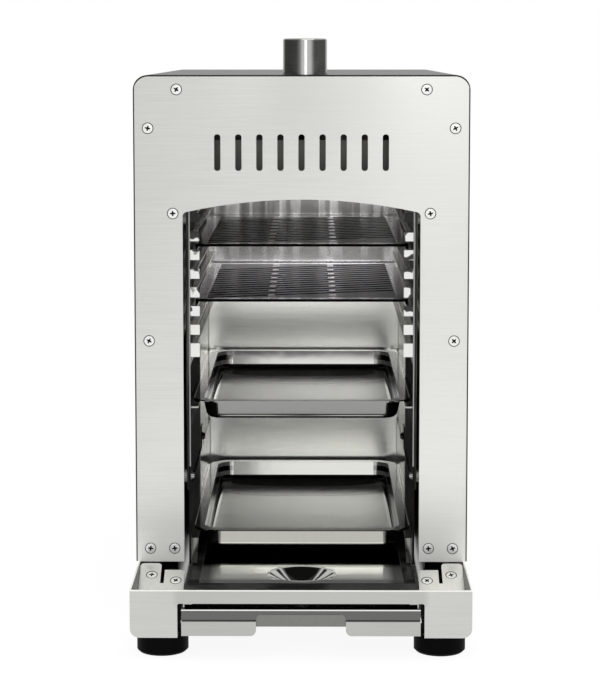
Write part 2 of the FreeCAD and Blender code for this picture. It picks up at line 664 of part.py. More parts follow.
def make_base_tray():
    piece = Piece("base_tray")
    half, inside = base_half, base_half - base_sheet
    block = piece.sketch("XZ", -base_overhang)
    outline(block, [(-half, foot_height), (-half, base_rim), (half, base_rim), (half, foot_height)],
            {0: base_round, 3: base_round})
    piece.add("block", block, base_overhang + body_depth)

    bend = base_round - base_sheet
    above = base_rim + past
    front = piece.sketch("XZ", base_sheet - base_overhang)
    outline(front, [(-inside, floor_top), (-inside, above), (inside, above), (inside, floor_top)],
            {0: bend, 3: bend})
    piece.cut("front_hollow", front, base_overhang - base_sheet + panel_sheet)
    lip, under_lip = inside - base_lip, base_rim - base_sheet
    back = piece.sketch("XZ", panel_sheet)
    outline(back, [(-inside, floor_top), (-inside, under_lip), (-lip, under_lip), (-lip, above),
                   (lip, above), (lip, under_lip), (inside, under_lip), (inside, floor_top)],
            {0: bend, 7: bend})
    piece.cut("back_hollow", back, body_depth - base_sheet - panel_sheet)

    mouth_half, front, low = mouth_width / 2, -base_overhang - past, foot_height - past
    floor = piece.sketch("XY", low)
    rectangle(floor, -mouth_half, mouth_half, front, floor_opening - base_overhang)
    piece.cut("floor_opening", floor, base_sheet + past)
    mouth = piece.sketch("XZ", front)
    outline(mouth, [(-mouth_half, low), (-mouth_half, lintel), (mouth_half, lintel), (mouth_half, low)],
            {1: mouth_round, 2: mouth_round})
    piece.cut("mouth", mouth, base_sheet + past)

    drill = piece.sketch("XY", foot_height)
    for x, y in foot_places():
        circle(drill, x, y, screw_shank / 2 + screw_play)
    piece.cut("foot_holes", drill, base_sheet)


def foot_places():
    x = base_half - foot_inset_x
    return [(side * x, y) for y in (foot_inset_y - base_overhang, body_depth - foot_inset_y)
            for side in (-1, 1)]


def make_feet():
    names = ["foot_front_left", "foot_front_right", "foot_back_left", "foot_back_right"]
    for label, (x, y) in zip(names, foot_places()):
        piece = Piece(label, x, y, 0)
        half = piece.sketch("XZ")
        bore, recess, side = screw_shank / 2 + screw_play, screw_head / 2 + recess_play, foot_round / 2
        outline(half, [(bore, foot_height), (side, foot_height), (side, foot_bevel), (side - foot_bevel, 0),
                       (recess, 0), (recess, foot_recess), (bore, foot_recess)])
        piece.turn("rubber", half)

    screws = Piece("foot_screws")
    heads = screws.sketch("XY", foot_recess - foot_head)
    shanks = screws.sketch("XY", foot_recess)
    for x, y in foot_places():
        circle(heads, x, y, screw_head / 2)
        circle(shanks, x, y, screw_shank / 2)
    screws.add("heads", heads, foot_head)
    screws.add("shanks", shanks, floor_top - foot_recess + nut_height + thread_past)

    nuts = Piece("foot_nuts")
    flats = nuts.sketch("XY", floor_top)
    holes = nuts.sketch("XY", floor_top)
    for x, y in foot_places():
        hexagon(flats, x, y, nut_round / 2)
        circle(holes, x, y, screw_shank / 2 + screw_play / 2)
    nuts.add("hexagons", flats, nut_height)
    nuts.cut("bores", holes, nut_height)


def hexagon(sketch, x, y, radius):
    """A hexagon round a point; radius reaches its corners."""
    corners = []
    for i in range(6):
        angle = math.radians(60 * i)
        corners.append((x + radius * math.cos(angle), y + radius * math.sin(angle)))
    outline(sketch, corners)


# Sloping plates beside the drain tray

apron_top = base_rim - apron_drop
apron_outer = base_half - base_sheet - seat_gap
apron_fall = apron_top - floor_top - apron_sheet * apron_slope.cosine() - seat_gap
apron_length = apron_fall / apron_slope.sine()
apron_inner = rack_inner + rack_sheet
apron_slot_at = apron_inner + apron_slot_in
apron_screw_outer = apron_outer - apron_screw_out
apron_screw_inner = apron_inner + apron_screw_in


def apron_screw_places(side):
    return [(side * apron_screw_outer, -apron_screw_high), (side * apron_screw_inner, -apron_screw_low)]


def make_apron(name, side):
    piece = Piece(f"apron_{name}", 0, -apron_drop, apron_top, apron_slope)
    slot_in = side * (apron_slot_at - apron_slot_width / 2)
    slot_out = side * (apron_slot_at + apron_slot_width / 2)
    inner, outer = side * apron_inner, side * apron_outer
    plate = piece.sketch("XY")
    bend = base_round - base_sheet
    relief = apron_length - bend / apron_slope.sine()
    outline(plate, [(outer, 0), (outer, -relief), (outer - side * bend, -apron_length),
                    (inner, -apron_length), (inner, -apron_step), (slot_in, -apron_step),
                    (slot_in, -apron_slot_length), (slot_out, -apron_slot_length), (slot_out, 0)],
            {0: apron_round, 4: apron_round, 8: apron_round})
    piece.add("plate", plate, apron_sheet, -1)
    piece.screw_holes(apron_screw_places(side), "XY", 0, -1)


def make_apron_screws():
    screws = Piece("apron_screws", 0, -apron_drop, apron_top, apron_slope)
    places = [place for side in SIDES.values() for place in apron_screw_places(side)]
    add_screws(screws, "XY", places, 0, -1, apron_screw_length)


def add_screws(piece, plane, places, at, toward, length):
    """Countersunk screws: coned heads flush with a face, each with its shank."""
    heads = piece.sketch(plane, at)
    shanks = piece.sketch(plane, at)
    for x, y in places:
        circle(heads, x, y, screw_head / 2)
        circle(shanks, x, y, screw_shank / 2)
    cones = piece.add("heads", heads, screw_sink, toward)
    bind(cones, "TaperAngle", -countersink / 2)
    doc.recompute()
    piece.add("shanks", shanks, length, toward)


# Casing and panels

def panel_screw_places():
    rows_of_screws = [(screw_top_x, screw_top_z), (screw_outer_x, screw_upper_z),
                      (screw_inner_x, screw_arch_z), (screw_outer_x, screw_middle_z),
                      (screw_outer_x, screw_low_z), (screw_inner_x, screw_low_z)]
    return [(side * x, z) for x, z in rows_of_screws for side in (-1, 1)]


def back_screw_places():
    rows_of_screws = [(screw_top_x, screw_top_z), (screw_outer_x, screw_upper_z),
                      (screw_outer_x, screw_middle_z), (screw_outer_x, screw_low_z)]
    return [(side * x, z) for x, z in rows_of_screws for side in (-1, 1)]


def make_front_panel():
    piece = Piece("front_panel")
    plate = piece.sketch("XZ")
    outline(plate, [(-panel_half, base_rim), (-panel_half, panel_top),
                    (panel_half, panel_top), (panel_half, base_rim)],
            {0: panel_foot_round, 1: corner_round, 2: corner_round, 3: panel_foot_round})
    piece.add("plate", plate, panel_sheet)

    half, low = opening_width / 2, base_rim - past
    arch = piece.sketch("XZ")
    corners = [vector(-half.number, low.number, 0), vector(-half.number, opening_shoulder.number, 0),
               vector(half.number, opening_shoulder.number, 0), vector(half.number, low.number, 0)]
    crown = vector(0, opening_peak.number, 0)
    left = arch.addGeometry(Part.LineSegment(corners[0], corners[1]), False)
    right = arch.addGeometry(Part.LineSegment(corners[2], corners[3]), False)
    under = arch.addGeometry(Part.LineSegment(corners[3], corners[0]), False)
    top, left_end, right_end = add_arc(arch, corners[1], crown, corners[2])
    for first, first_end, second, second_end in ((left, 2, top, left_end), (right, 1, top, right_end),
                                                 (right, 2, under, 1), (under, 2, left, 1)):
        arch.addConstraint(Sketcher.Constraint("Coincident", first, first_end, second, second_end))
    fix(arch, left, 1, -half, low)
    fix(arch, left, 2, -half, opening_shoulder)
    fix(arch, right, 1, half, opening_shoulder)
    fix(arch, right, 2, half, low)
    rise = opening_peak - opening_shoulder
    radius = (half * half + rise * rise) / (2 * rise)
    limit = arch.addConstraint(Sketcher.Constraint("Radius", top, radius.number))
    bind(arch, f"Constraints[{limit}]", radius)
    piece.cut("opening", arch, panel_sheet)
    piece.fillet(shoulder_round, lambda edge: along(edge, Y_AXIS) and near(middle(edge).z, opening_shoulder))

    vent = piece.sketch("XZ")
    first = -vent_pitch * (vent_count - 1) / 2
    rectangle(vent, first - vent_slot_width / 2, first + vent_slot_width / 2,
              vent_height - vent_slot_height / 2, vent_height + vent_slot_height / 2, vent_slot_round)
    slot = piece.cut("vent_slot", vent, panel_sheet)
    piece.repeat([slot], "X_Axis", vent_pitch, vent_count)
    piece.screw_holes(panel_screw_places(), "XZ", 0, 1)


def flange_outline(sketch):
    """The U-shaped flange at one end of the casing."""
    half = body_half - casing_sheet
    inner, low, high = half - casing_flange, base_rim + casing_sheet, body_top - casing_sheet
    bend = corner_round - casing_sheet
    outline(sketch, [(-half, low), (-half, high), (half, high), (half, low), (inner, low),
                     (inner, high - casing_flange), (-inner, high - casing_flange), (-inner, low)],
            {1: bend, 2: bend})


def make_casing():
    piece = Piece("outer_casing")
    half, inside = body_half, body_half - casing_sheet
    lip, high, low = inside - casing_foot_flange, body_top - casing_sheet, base_rim + casing_sheet
    bend = corner_round - casing_sheet
    shell = piece.sketch("XZ", panel_sheet)
    outline(shell, [(-half, base_rim), (-half, body_top), (half, body_top), (half, base_rim), (lip, base_rim),
                    (lip, low), (inside, low), (inside, high), (-inside, high), (-inside, low),
                    (-lip, low), (-lip, base_rim)],
            {1: corner_round, 2: corner_round, 7: bend, 8: bend})
    piece.add("shell", shell, body_depth - panel_sheet - casing_sheet)
    front = piece.sketch("XZ", panel_sheet)
    flange_outline(front)
    piece.add("front_flange", front, casing_sheet)
    back = piece.sketch("XZ", body_depth - casing_sheet)
    flange_outline(back)
    piece.add("back_flange", back, casing_sheet, -1)
    knob_hole = piece.sketch("XY", body_top)
    circle(knob_hole, knob_x, knob_y, knob_radius + knob_play)
    piece.cut("knob_hole", knob_hole, casing_sheet, -1)
    fronts = [(x, z) for x, z in panel_screw_places() if abs(x.number) != screw_inner_x.number]
    piece.screw_holes(fronts, "XZ", panel_sheet, 1, countersunk=False)
    piece.screw_holes(back_screw_places(), "XZ", body_depth - casing_sheet, -1, countersunk=False)


def make_back_panel():
    piece = Piece("back_panel")
    plate = piece.sketch("XZ", body_depth)
    outline(plate, [(-body_half, base_rim), (-body_half, body_top),
                    (body_half, body_top), (body_half, base_rim)],
            {1: corner_round, 2: corner_round})
    piece.add("plate", plate, casing_sheet, -1)
    pair = piece.sketch("XZ", body_depth)
    for side in SIDES.values():
        rectangle(pair, side * back_vent_in, side * (back_vent_in + back_vent_width),
                  back_vent_low, back_vent_low + back_vent_slot)
    slots = piece.cut("vent_slots", pair, casing_sheet, -1)
    piece.repeat([slots], "Z_Axis", back_vent_pitch, back_vent_count)
    inlet = piece.sketch("XZ", body_depth)
    circle(inlet, inlet_x, gas_level, inlet_radius + seat_gap)
    piece.cut("inlet_hole", inlet, casing_sheet, -1)
    piece.screw_holes(back_screw_places(), "XZ", body_depth, -1, countersunk=False)


def make_panel_screws():
    screws = Piece("panel_screws")
    add_screws(screws, "XZ", panel_screw_places(), 0, 1, screw_length)
    rear = Piece("back_screws")
    heads = rear.sketch("XZ", body_depth)
    shanks = rear.sketch("XZ", body_depth)
    for x, z in back_screw_places():
        circle(heads, x, z, screw_head / 2)
        circle(shanks, x, z, screw_shank / 2)
    domes = rear.add("heads", heads, screw_dome)
    bind(domes, "TaperAngle", -head_taper)
    doc.recompute()
    rear.add("shanks", shanks, screw_length, -1)


# Chamber

def make_frame(name, side):
    piece = Piece(f"frame_{name}")
    inner, outer = side * frame_inner, side * (frame_inner + frame_sheet)
    reach = side * (frame_inner + frame_sheet + frame_flange)
    front = panel_sheet + frame_sheet
    section = piece.sketch("XZ", front)
    low, high = floor_top + frame_sheet, frame_top - frame_sheet
    outline(section, [(inner, floor_top), (inner, frame_top), (reach, frame_top), (reach, high),
                      (outer, high), (outer, low), (reach, low), (reach, floor_top)])
    piece.add("channel", section, frame_end - front)
    flange = piece.sketch("XZ", panel_sheet)
    rectangle(flange, inner, side * (frame_inner + frame_flange), base_rim + casing_sheet, frame_top)
    piece.add("front_flange", flange, frame_sheet)
    inner_screws = [(side * screw_inner_x, screw_arch_z), (side * screw_inner_x, screw_low_z)]
    piece.screw_holes(inner_screws, "XZ", panel_sheet, 1, countersunk=False)
    drill = piece.sketch("YZ", inner)
    square_holes(drill, bolt_places())
    piece.cut("bolt_holes", drill, frame_sheet, side)


def bolt_high(level):
    """Middle of the web between the slot under one ledge and the ledge itself."""
    lower_slot_top = level_top - level_pitch * (level + 1) + level_slot
    ledge_bottom = level_top - level_pitch * level - rack_sheet
    return (lower_slot_top + ledge_bottom) / 2


def bolt_places():
    """Along the depth and up: two low bolts that also hold the lower guide, and two high ones."""
    return [(bolt_front, bolt_low), (bolt_back, bolt_low),
            (bolt_front, bolt_high(0)), (bolt_back, bolt_high(1))]


def square_holes(sketch, places):
    """Holes for the square necks of domed bolts."""
    reach = bolt_round / 2 + screw_play
    for y, z in places:
        rectangle(sketch, y - reach, y + reach, z - reach, z + reach)


def make_rack(name, side):
    piece = Piece(f"rack_{name}")
    face = side * rack_inner
    wall = piece.sketch("YZ", face)
    rectangle(wall, rack_front, rack_end, rack_low, rack_top)
    piece.add("wall", wall, rack_sheet, side)

    border, tooth = side * (rack_inner - rack_border), side * (rack_inner - rack_tooth)
    flange = piece.sketch("XZ", rack_front)
    flange_low = guide_ear + seat_gap
    outline(flange, [(face, flange_low), (face, rack_top), (tooth, rack_top), (tooth, rack_tooth_low),
                     (border, rack_tooth_low), (border, flange_low)])
    piece.add("front_flange", flange, rack_sheet)

    ledge = piece.sketch("XZ", rack_front + rack_sheet)
    rectangle(ledge, face, side * (rack_inner - ledge_width), level_top - rack_sheet, level_top)
    ledges = piece.add("ledge", ledge, ledge_length - rack_sheet)
    piece.repeat([ledges], "Z_Axis", -level_pitch, level_count)
    slot = piece.sketch("YZ", face)
    start, end = rack_front + 4 * rack_sheet, rack_front + ledge_length
    rectangle(slot, start, end, level_top, level_top + level_slot)
    slots = piece.cut("slot", slot, rack_sheet, side)
    piece.repeat([slots], "Z_Axis", -level_pitch, level_count)
    gate = piece.sketch("XZ", rack_front)
    beyond = side * (rack_inner - rack_tooth - past)
    rectangle(gate, border, beyond, level_top, level_top + level_mouth)
    mouths = piece.cut("mouth", gate, rack_sheet)
    piece.repeat([mouths], "Z_Axis", -level_pitch, level_count)

    drill = piece.sketch("YZ", face)
    square_holes(drill, bolt_places())
    piece.cut("bolt_holes", drill, rack_sheet, side)


def make_rack_fasteners():
    sleeves = Piece("rack_sleeves")
    bolts = Piece("rack_bolts")
    for side in SIDES.values():
        outer = side * (rack_inner + rack_sheet)
        ring = sleeves.sketch("YZ", outer)
        for y, z in bolt_places():
            circle(ring, y, z, sleeve_round / 2)
            circle(ring, y, z, bolt_round / 2 + screw_play)
        sleeves.add("sleeves", ring, frame_inner - rack_inner - rack_sheet, side)
        low, high = bolt_places()[:2], bolt_places()[2:]
        for places, seat in ((low, rack_inner - guide_sheet), (high, rack_inner)):
            head = bolts.sketch("YZ", side * seat)
            shank = bolts.sketch("YZ", side * seat)
            for y, z in places:
                circle(head, y, z, bolt_head / 2)
                circle(shank, y, z, bolt_round / 2)
            domes = bolts.add("heads", head, bolt_head_high, -side)
            bind(domes, "TaperAngle", -head_taper)
            doc.recompute()
            bolts.add("shanks", shank, frame_inner + frame_sheet + bolt_past - seat, side)


def make_lower_guide(name, side):
    piece = Piece(f"lower_guide_{name}")
    inner = side * (rack_inner - guide_sheet)
    wall = piece.sketch("YZ", inner)
    ear_end = rack_front + guide_ear_width
    ear_from, ear_to = bolt_back - guide_ear_width / 2, bolt_back + guide_ear_width / 2
    outline(wall, [(rack_front, guide_low), (rack_front, guide_ear), (ear_end, guide_ear),
                   (ear_end, rack_low), (ear_from, rack_low), (ear_from, guide_ear), (ear_to, guide_ear),
                   (ear_to, rack_low), (rack_end, rack_low), (rack_end, guide_low)],
            {1: ear_round, 2: ear_round, 5: ear_round, 6: ear_round})
    piece.add("wall", wall, guide_sheet, side)
    ledge_top = lower_pan_top - pan_sheet - ledge_play
    ledge = piece.sketch("XZ", rack_front + guide_sheet)
    rectangle(ledge, inner, side * (rack_inner - runner_ledge), ledge_top - guide_sheet, ledge_top)
    piece.add("ledge", ledge, ledge_length)
    wing = piece.sketch("XZ", rack_front)
    tip = side * (rack_inner - runner_ledge)
    wing_low = drain_low + drain_wall + seat_gap
    foot = tip + side * guide_sheet
    outline(wing, [(inner, wing_low), (inner, ledge_top), (tip, ledge_top), (foot, wing_low)])
    piece.add("wing", wing, guide_sheet)
    drill = piece.sketch("YZ", inner)
    square_holes(drill, bolt_places()[:2])
    piece.cut("bolt_holes", drill, guide_sheet, side)


def make_pan_runner(name, side):
    piece = Piece(f"pan_runner_{name}")
    top = upper_pan_top - pan_sheet - ledge_play
    back, inner = side * rack_inner, side * (rack_inner - guide_sheet)
    section = piece.sketch("XZ", runner_front)
    outline(section, [(back, top - runner_leg), (back, top), (side * (rack_inner - runner_ledge), top),
                      (side * (rack_inner - runner_ledge), top - guide_sheet), (inner, top - guide_sheet),
                      (inner, top - runner_leg)])
    piece.add("angle", section, rack_end - runner_front)


def make_back_wall():
    piece = Piece("chamber_back_wall")
    half = frame_inner - seat_gap
    inside, back = half - roof_sheet, back_wall_at + roof_sheet
    section = piece.sketch("XY", back_wall_low)
    outline(section, [(-half, back_wall_at), (-half, frame_end), (-inside, frame_end), (-inside, back),
                      (inside, back), (inside, frame_end), (half, frame_end), (half, back_wall_at)])
    piece.add("wall", section, frame_top - seat_gap - back_wall_low)


def make_roof():
    piece = Piece("chamber_roof")
    half = frame_inner + frame_sheet + frame_flange
    plate = piece.sketch("XY", frame_top)
    rectangle(plate, -half, half, panel_sheet + frame_sheet, frame_end)
    piece.add("plate", plate, roof_sheet)
    window = piece.sketch("XY", frame_top)
    across = burner_width / 2 - roof_sheet - tile_rest
    rectangle(window, -across, across, burner_front + roof_sheet + tile_rest,
              burner_front + burner_depth - roof_sheet - tile_rest)
    piece.cut("window", window, roof_sheet)
    holes = piece.sketch("XY", frame_top)
    circle(holes, -probe_x, probe_y, probe_radius + seat_gap)
    circle(holes, probe_x, probe_y, pipe_radius / 2 + seat_gap)
    piece.cut("probe_holes", holes, roof_sheet)


# Drain tray and its cover

def make_drain_tray():
    piece = Piece("drain_tray")
    inside = drain_half - drain_sheet
    plate = piece.sketch("XY", drain_low)
    rectangle(plate, -drain_half, drain_half, -drain_front, drain_end, drain_round)
    piece.add("plate", plate, drain_wall)
    bulge = piece.sketch("XY", drain_low)
    circle(bulge, 0, funnel_back, funnel_radius + drain_sheet)
    piece.add("bulge", bulge, drain_wall)
    hollow = piece.sketch("XY", drain_low + drain_sheet)
    rectangle(hollow, -inside, inside, drain_sheet - drain_front, drain_end - drain_sheet,
              drain_round - drain_sheet)
    piece.cut("hollow", hollow, drain_wall)
    round_hollow = piece.sketch("XY", drain_low + drain_sheet)
    circle(round_hollow, 0, funnel_back, funnel_radius)
    piece.cut("round_hollow", round_hollow, drain_wall)
    floor = drain_low + drain_sheet
    tip = floor - funnel_drop
    shell = piece.sketch("YZ")
    outline(shell, [(funnel_back, drain_low), (funnel_back, tip - drain_sheet),
                    (funnel_back + funnel_hole + drain_sheet, tip - drain_sheet),
                    (funnel_back + funnel_radius + drain_sheet, drain_low)])
    turn_round(piece, "funnel", shell)
    bore = piece.sketch("YZ")
    above, below = floor + past, tip - drain_sheet - past
    hole_at, rim_at = funnel_back + funnel_hole, funnel_back + funnel_radius
    outline(bore, [(funnel_back, above), (funnel_back, below), (hole_at, below), (hole_at, tip),
                   (rim_at, floor), (rim_at, above)])
    turn_round(piece, "funnel_bore", bore, groove=True)


def turn_round(piece, kind, sketch, groove=False):
    """Revolve a YZ sketch round its own upright construction line, which is its first side."""
    line = sketch.Geometry[0]
    axis = sketch.addGeometry(Part.LineSegment(line.StartPoint, line.EndPoint), True)
    sketch.addConstraint(Sketcher.Constraint("Coincident", axis, 1, 0, 1))
    sketch.addConstraint(Sketcher.Constraint("Coincident", axis, 2, 0, 2))
    return piece.turn(kind, sketch, "Axis0", groove)


def make_drawer_cover():
    piece = Piece("drawer_cover")
    front, end = base_sheet + seat_gap - base_overhang, funnel_back - funnel_radius - drain_sheet - cover_gap
    fold, high = front + guide_sheet, base_rim - cover_drop
    section = piece.sketch("YZ", -drain_half)
    outline(section, [(front, drain_low), (end, drain_low), (end, drain_low + guide_sheet),
                      (fold, drain_low + guide_sheet), (fold, high), (front, high)])
    piece.add("plate", section, 2 * drain_half)


# Drawer

def make_drawer_runner(name, side):
    piece = Piece(f"drawer_runner_{name}")
    outer = side * (rack_inner - guide_sheet - slide_gap)
    web = side * runner_web
    leg = side * (tray_half + tray_play + runner_leg_play)
    top_leg = side * tray_half
    lower = tray_top - tray_sheet - tray_play
    upper = tray_top + tray_play
    section = piece.sketch("XZ", drawer_back)
    outline(section, [(outer, lower - guide_sheet), (outer, drain_low), (top_leg, drain_low),
                      (top_leg, drain_low - guide_sheet), (web, drain_low - guide_sheet),
                      (web, upper + guide_sheet), (leg, upper + guide_sheet), (leg, upper), (web, upper),
                      (web, lower), (leg, lower), (leg, lower - guide_sheet)])
    piece.add("channel", section, slide_length)


def make_drawer_front():
    piece = Piece("drawer_front")
    low = foot_height + drawer_drop
    high = low + drawer_height
    face, proud = drawer_jog - base_overhang, sized(-base_overhang)
    bead = high - drawer_bead
    lip = low + drawer_lip
    bead_face, inside = proud + bead_back, proud + drawer_sheet
    section = piece.sketch("YZ", -drawer_width / 2)
    outline(section, [(proud, low), (proud, lip), (face, lip + jog_slope), (face, bead - bead_slope),
                      (bead_face, bead), (bead_face, high), (drawer_back, high), (drawer_back, lip),
                      (inside, lip - jog_slope), (inside, low)])
    piece.add("plate", section, drawer_width)
    notch = piece.sketch("XZ", -base_overhang - past)
    half, under, notch_top = notch_width / 2, low - past, low + notch_height
    outline(notch, [(-half, under), (-half, notch_top), (half, notch_top), (half, under)],
            {1: notch_round, 2: notch_round})
    piece.cut("notch", notch, drawer_jog + drawer_sheet + 2 * past)
    piece.fillet(notch_round, lambda edge: along(edge, Y_AXIS) and near(middle(edge).z, low)
                 and near(abs(middle(edge).x), half))


def make_drawer_tray():
    piece = Piece("drawer_tray")
    block = piece.sketch("XY", tray_low)
    rectangle(block, -tray_half, tray_half, drawer_back, drawer_back + tray_length, tray_round)
    piece.add("block", block, tray_top - tray_low)
    flange = piece.sketch("XY", tray_top - tray_sheet)
    reach = tray_half + tray_flange
    rectangle(flange, -reach, reach, drawer_back + tray_lead, drawer_back + tray_length, tray_lead)
    piece.add("flange", flange, tray_sheet)
    hollow = piece.sketch("XY", tray_low + tray_sheet)
    inside = tray_half - tray_sheet
    rectangle(hollow, -inside, inside, drawer_back + tray_sheet, drawer_back + tray_length - tray_sheet,
              tray_round - tray_sheet)
    piece.cut("hollow", hollow, tray_top - tray_low)


# Grates and pans

def make_grate(name, level):
    piece = Piece(f"grate_{name}", 0, grate_front, level_top - level_pitch * level + ledge_play)
    plate = piece.sketch("XY")
    rectangle(plate, -grate_width / 2, grate_width / 2, 0, grate_depth, grate_round)
    piece.add("plate", plate, grate_sheet)
    rise = slot_slant.sine() / slot_slant.cosine()
    field = slot_pitch * (2 * slot_pairs - 1) + slot_width + 2 * rise * slot_reach
    first = (grate_depth - field) / 2 + rise * slot_reach
    slots = []
    for row, bridge in ((0, -slot_bridge_at), (1, slot_bridge_at)):
        drawing = piece.sketch("XY")
        low = first + slot_pitch * row
        for start, end in ((-slot_reach, bridge - slot_bridge / 2), (bridge + slot_bridge / 2, slot_reach)):
            outline(drawing, [(start, low + rise * start), (start, low + slot_width + rise * start),
                              (end, low + slot_width + rise * end), (end, low + rise * end)])
        slots.append(piece.cut("slot", drawing, grate_sheet))
    piece.repeat(slots, "Y_Axis", 2 * slot_pitch, slot_pairs)


def make_pan(name, top):
    """A deep-drawn pan: a rim, walls that slope inward and a rounded bottom, of one thickness."""
    piece = Piece(f"pan_{name}", 0, pan_front, top)
    half, corner = pan_width / 2 - pan_rim, pan_corner - pan_rim
    bowl = piece.sketch("XY")
    rectangle(bowl, -half, half, pan_rim, pan_length - pan_rim, corner)
    outside = piece.add("bowl", bowl, pan_depth, -1)
    bind(outside, "TaperAngle", -pan_taper)
    mouth = piece.sketch("XY")
    wall = pan_rim + pan_sheet
    rectangle(mouth, pan_sheet - half, half - pan_sheet, wall, pan_length - wall, corner - pan_sheet)
    inside = piece.cut("hollow", mouth, pan_depth - pan_sheet, -1)
    bind(inside, "TaperAngle", -pan_taper)
    doc.recompute()
    piece.fillet(pan_bend - pan_sheet, lambda edge: near(middle(edge).z, pan_sheet - pan_depth))
    piece.fillet(pan_bend, lambda edge: near(middle(edge).z, -pan_depth))
    rim = piece.sketch("XY")
    rectangle(rim, -pan_width / 2, pan_width / 2, 0, pan_length, pan_corner)
    rectangle(rim, pan_sheet - half, half - pan_sheet, wall, pan_length - wall, corner - pan_sheet)
    piece.add("rim", rim, pan_sheet, -1)


# Burner and gas parts

def bent_path(sketch, start, corner, end, radius):
    """Two straight runs and the arc between them."""
    start, corner, end = [(sized(x), sized(y)) for x, y in (start, corner, end)]
    places = [vector(x.number, y.number, 0) for x, y in (start, corner, end)]
    arc_start, arc_middle, arc_end = corner_points(places[0], places[1], places[2], radius.number)
    first = sketch.addGeometry(Part.LineSegment(places[0], arc_start), False)
    arc, near_end, far_end = add_arc(sketch, arc_start, arc_middle, arc_end)
    last = sketch.addGeometry(Part.LineSegment(arc_end, places[2]), False)
    sketch.addConstraint(Sketcher.Constraint("Tangent", first, 2, arc, near_end))
    sketch.addConstraint(Sketcher.Constraint("Tangent", last, 1, arc, far_end))
    limit = sketch.addConstraint(Sketcher.Constraint("Radius", arc, radius.number))
    bind(sketch, f"Constraints[{limit}]", radius)
    point = sketch.addGeometry(Part.Point(places[1]), True)
    sketch.addConstraint(Sketcher.Constraint("PointOnObject", point, 1, first))
    sketch.addConstraint(Sketcher.Constraint("PointOnObject", point, 1, last))
    fix(sketch, point, 1, *corner)
    fix(sketch, first, 1, *start)
    fix(sketch, last, 2, *end)


def add_tube(piece, plane, at, radius, wall, path):
    """Sweep a ring along a path; the ring lies square to the path's start."""
    ring = piece.sketch(plane, at)
    circle(ring, path["start"][0], path["start"][1], radius)
    circle(ring, path["start"][0], path["start"][1], radius - wall)
    doc.recompute()
    tube = piece.body.newObject("PartDesign::AdditivePipe", piece.name("tube"))
    tube.Profile = ring
    tube.Spine = (path["sketch"], [])
    doc.recompute()
    return tube


def make_burner():
    housing = Piece("burner_housing", 0, burner_front, roof_top)
    half = burner_width / 2
    block = housing.sketch("XY")
    rectangle(block, -half, half, 0, burner_depth, burner_round)
    housing.add("block", block, burner_height)
    flange = housing.sketch("XY")
    reach = half + burner_flange
    rectangle(flange, -reach, reach, -burner_flange, burner_depth + burner_flange)
    housing.add("flange", flange, roof_sheet)
    hollow = housing.sketch("XY")
    corner = burner_round - roof_sheet
    inside = half - roof_sheet
    rectangle(hollow, -inside, inside, roof_sheet, burner_depth - roof_sheet, corner)
    housing.cut("hollow", hollow, burner_height - roof_sheet)
    hole = housing.sketch("XY", burner_height)
    circle(hole, knob_x, mixer_front + mixer_length + mixer_bend - burner_front, mixer_radius - mixer_wall)
    housing.cut("mixer_hole", hole, roof_sheet, -1)

    tiles = Piece("burner_tiles", 0, burner_front, roof_top)
    inset = roof_sheet + tile_play
    for side in SIDES.values():
        tile = tiles.sketch("XY")
        inner, outer = side * tile_play / 2, side * (half - inset)
        end = burner_depth - inset
        outline(tile, [(inner, inset), (outer, inset), (outer, end), (inner, end)], {1: corner, 2: corner})
        tiles.add("tile", tile, tile_height)

    guard = Piece("burner_guard", 0, burner_front, frame_top)
    plate = guard.sketch("XY")
    rectangle(plate, -half, half, 0, burner_depth, block_round)
    guard.add("plate", plate, roof_sheet, -1)
    row = guard.sketch("XY")
    first = (burner_depth - guard_pitch * (guard_along - 1)) / 2
    reach = guard_hole / 2
    for i in range(int(guard_across.number)):
        centre = guard_pitch * (i - (guard_across - 1) / 2)
        rectangle(row, centre - reach, centre + reach, first - reach, first + reach)
    holes = guard.cut("row", row, roof_sheet, -1)
    guard.repeat([holes], "Y_Axis", guard_pitch, guard_along)


def make_mixing_tube():
    piece = Piece("mixing_tube", knob_x, mixer_front, gas_level)
    path = piece.sketch("YZ")
    bent_path(path, (0, 0), (mixer_length + mixer_bend, 0),
              (mixer_length + mixer_bend, housing_top - gas_level), mixer_bend)
    add_tube(piece, "XZ", 0, mixer_radius, mixer_wall, {"sketch": path, "start": (0, 0)})
    flare = piece.sketch("YZ")
    inside, rim = mixer_radius - mixer_wall, mixer_radius + flare_out
    outline(flare, [(0, inside), (0, rim), (flare_rim, rim), (flare_rim, mixer_radius),
                    (flare_length, mixer_radius - mixer_wall / 2), (flare_length, inside)])
    piece.turn("flare", flare, "H_Axis")


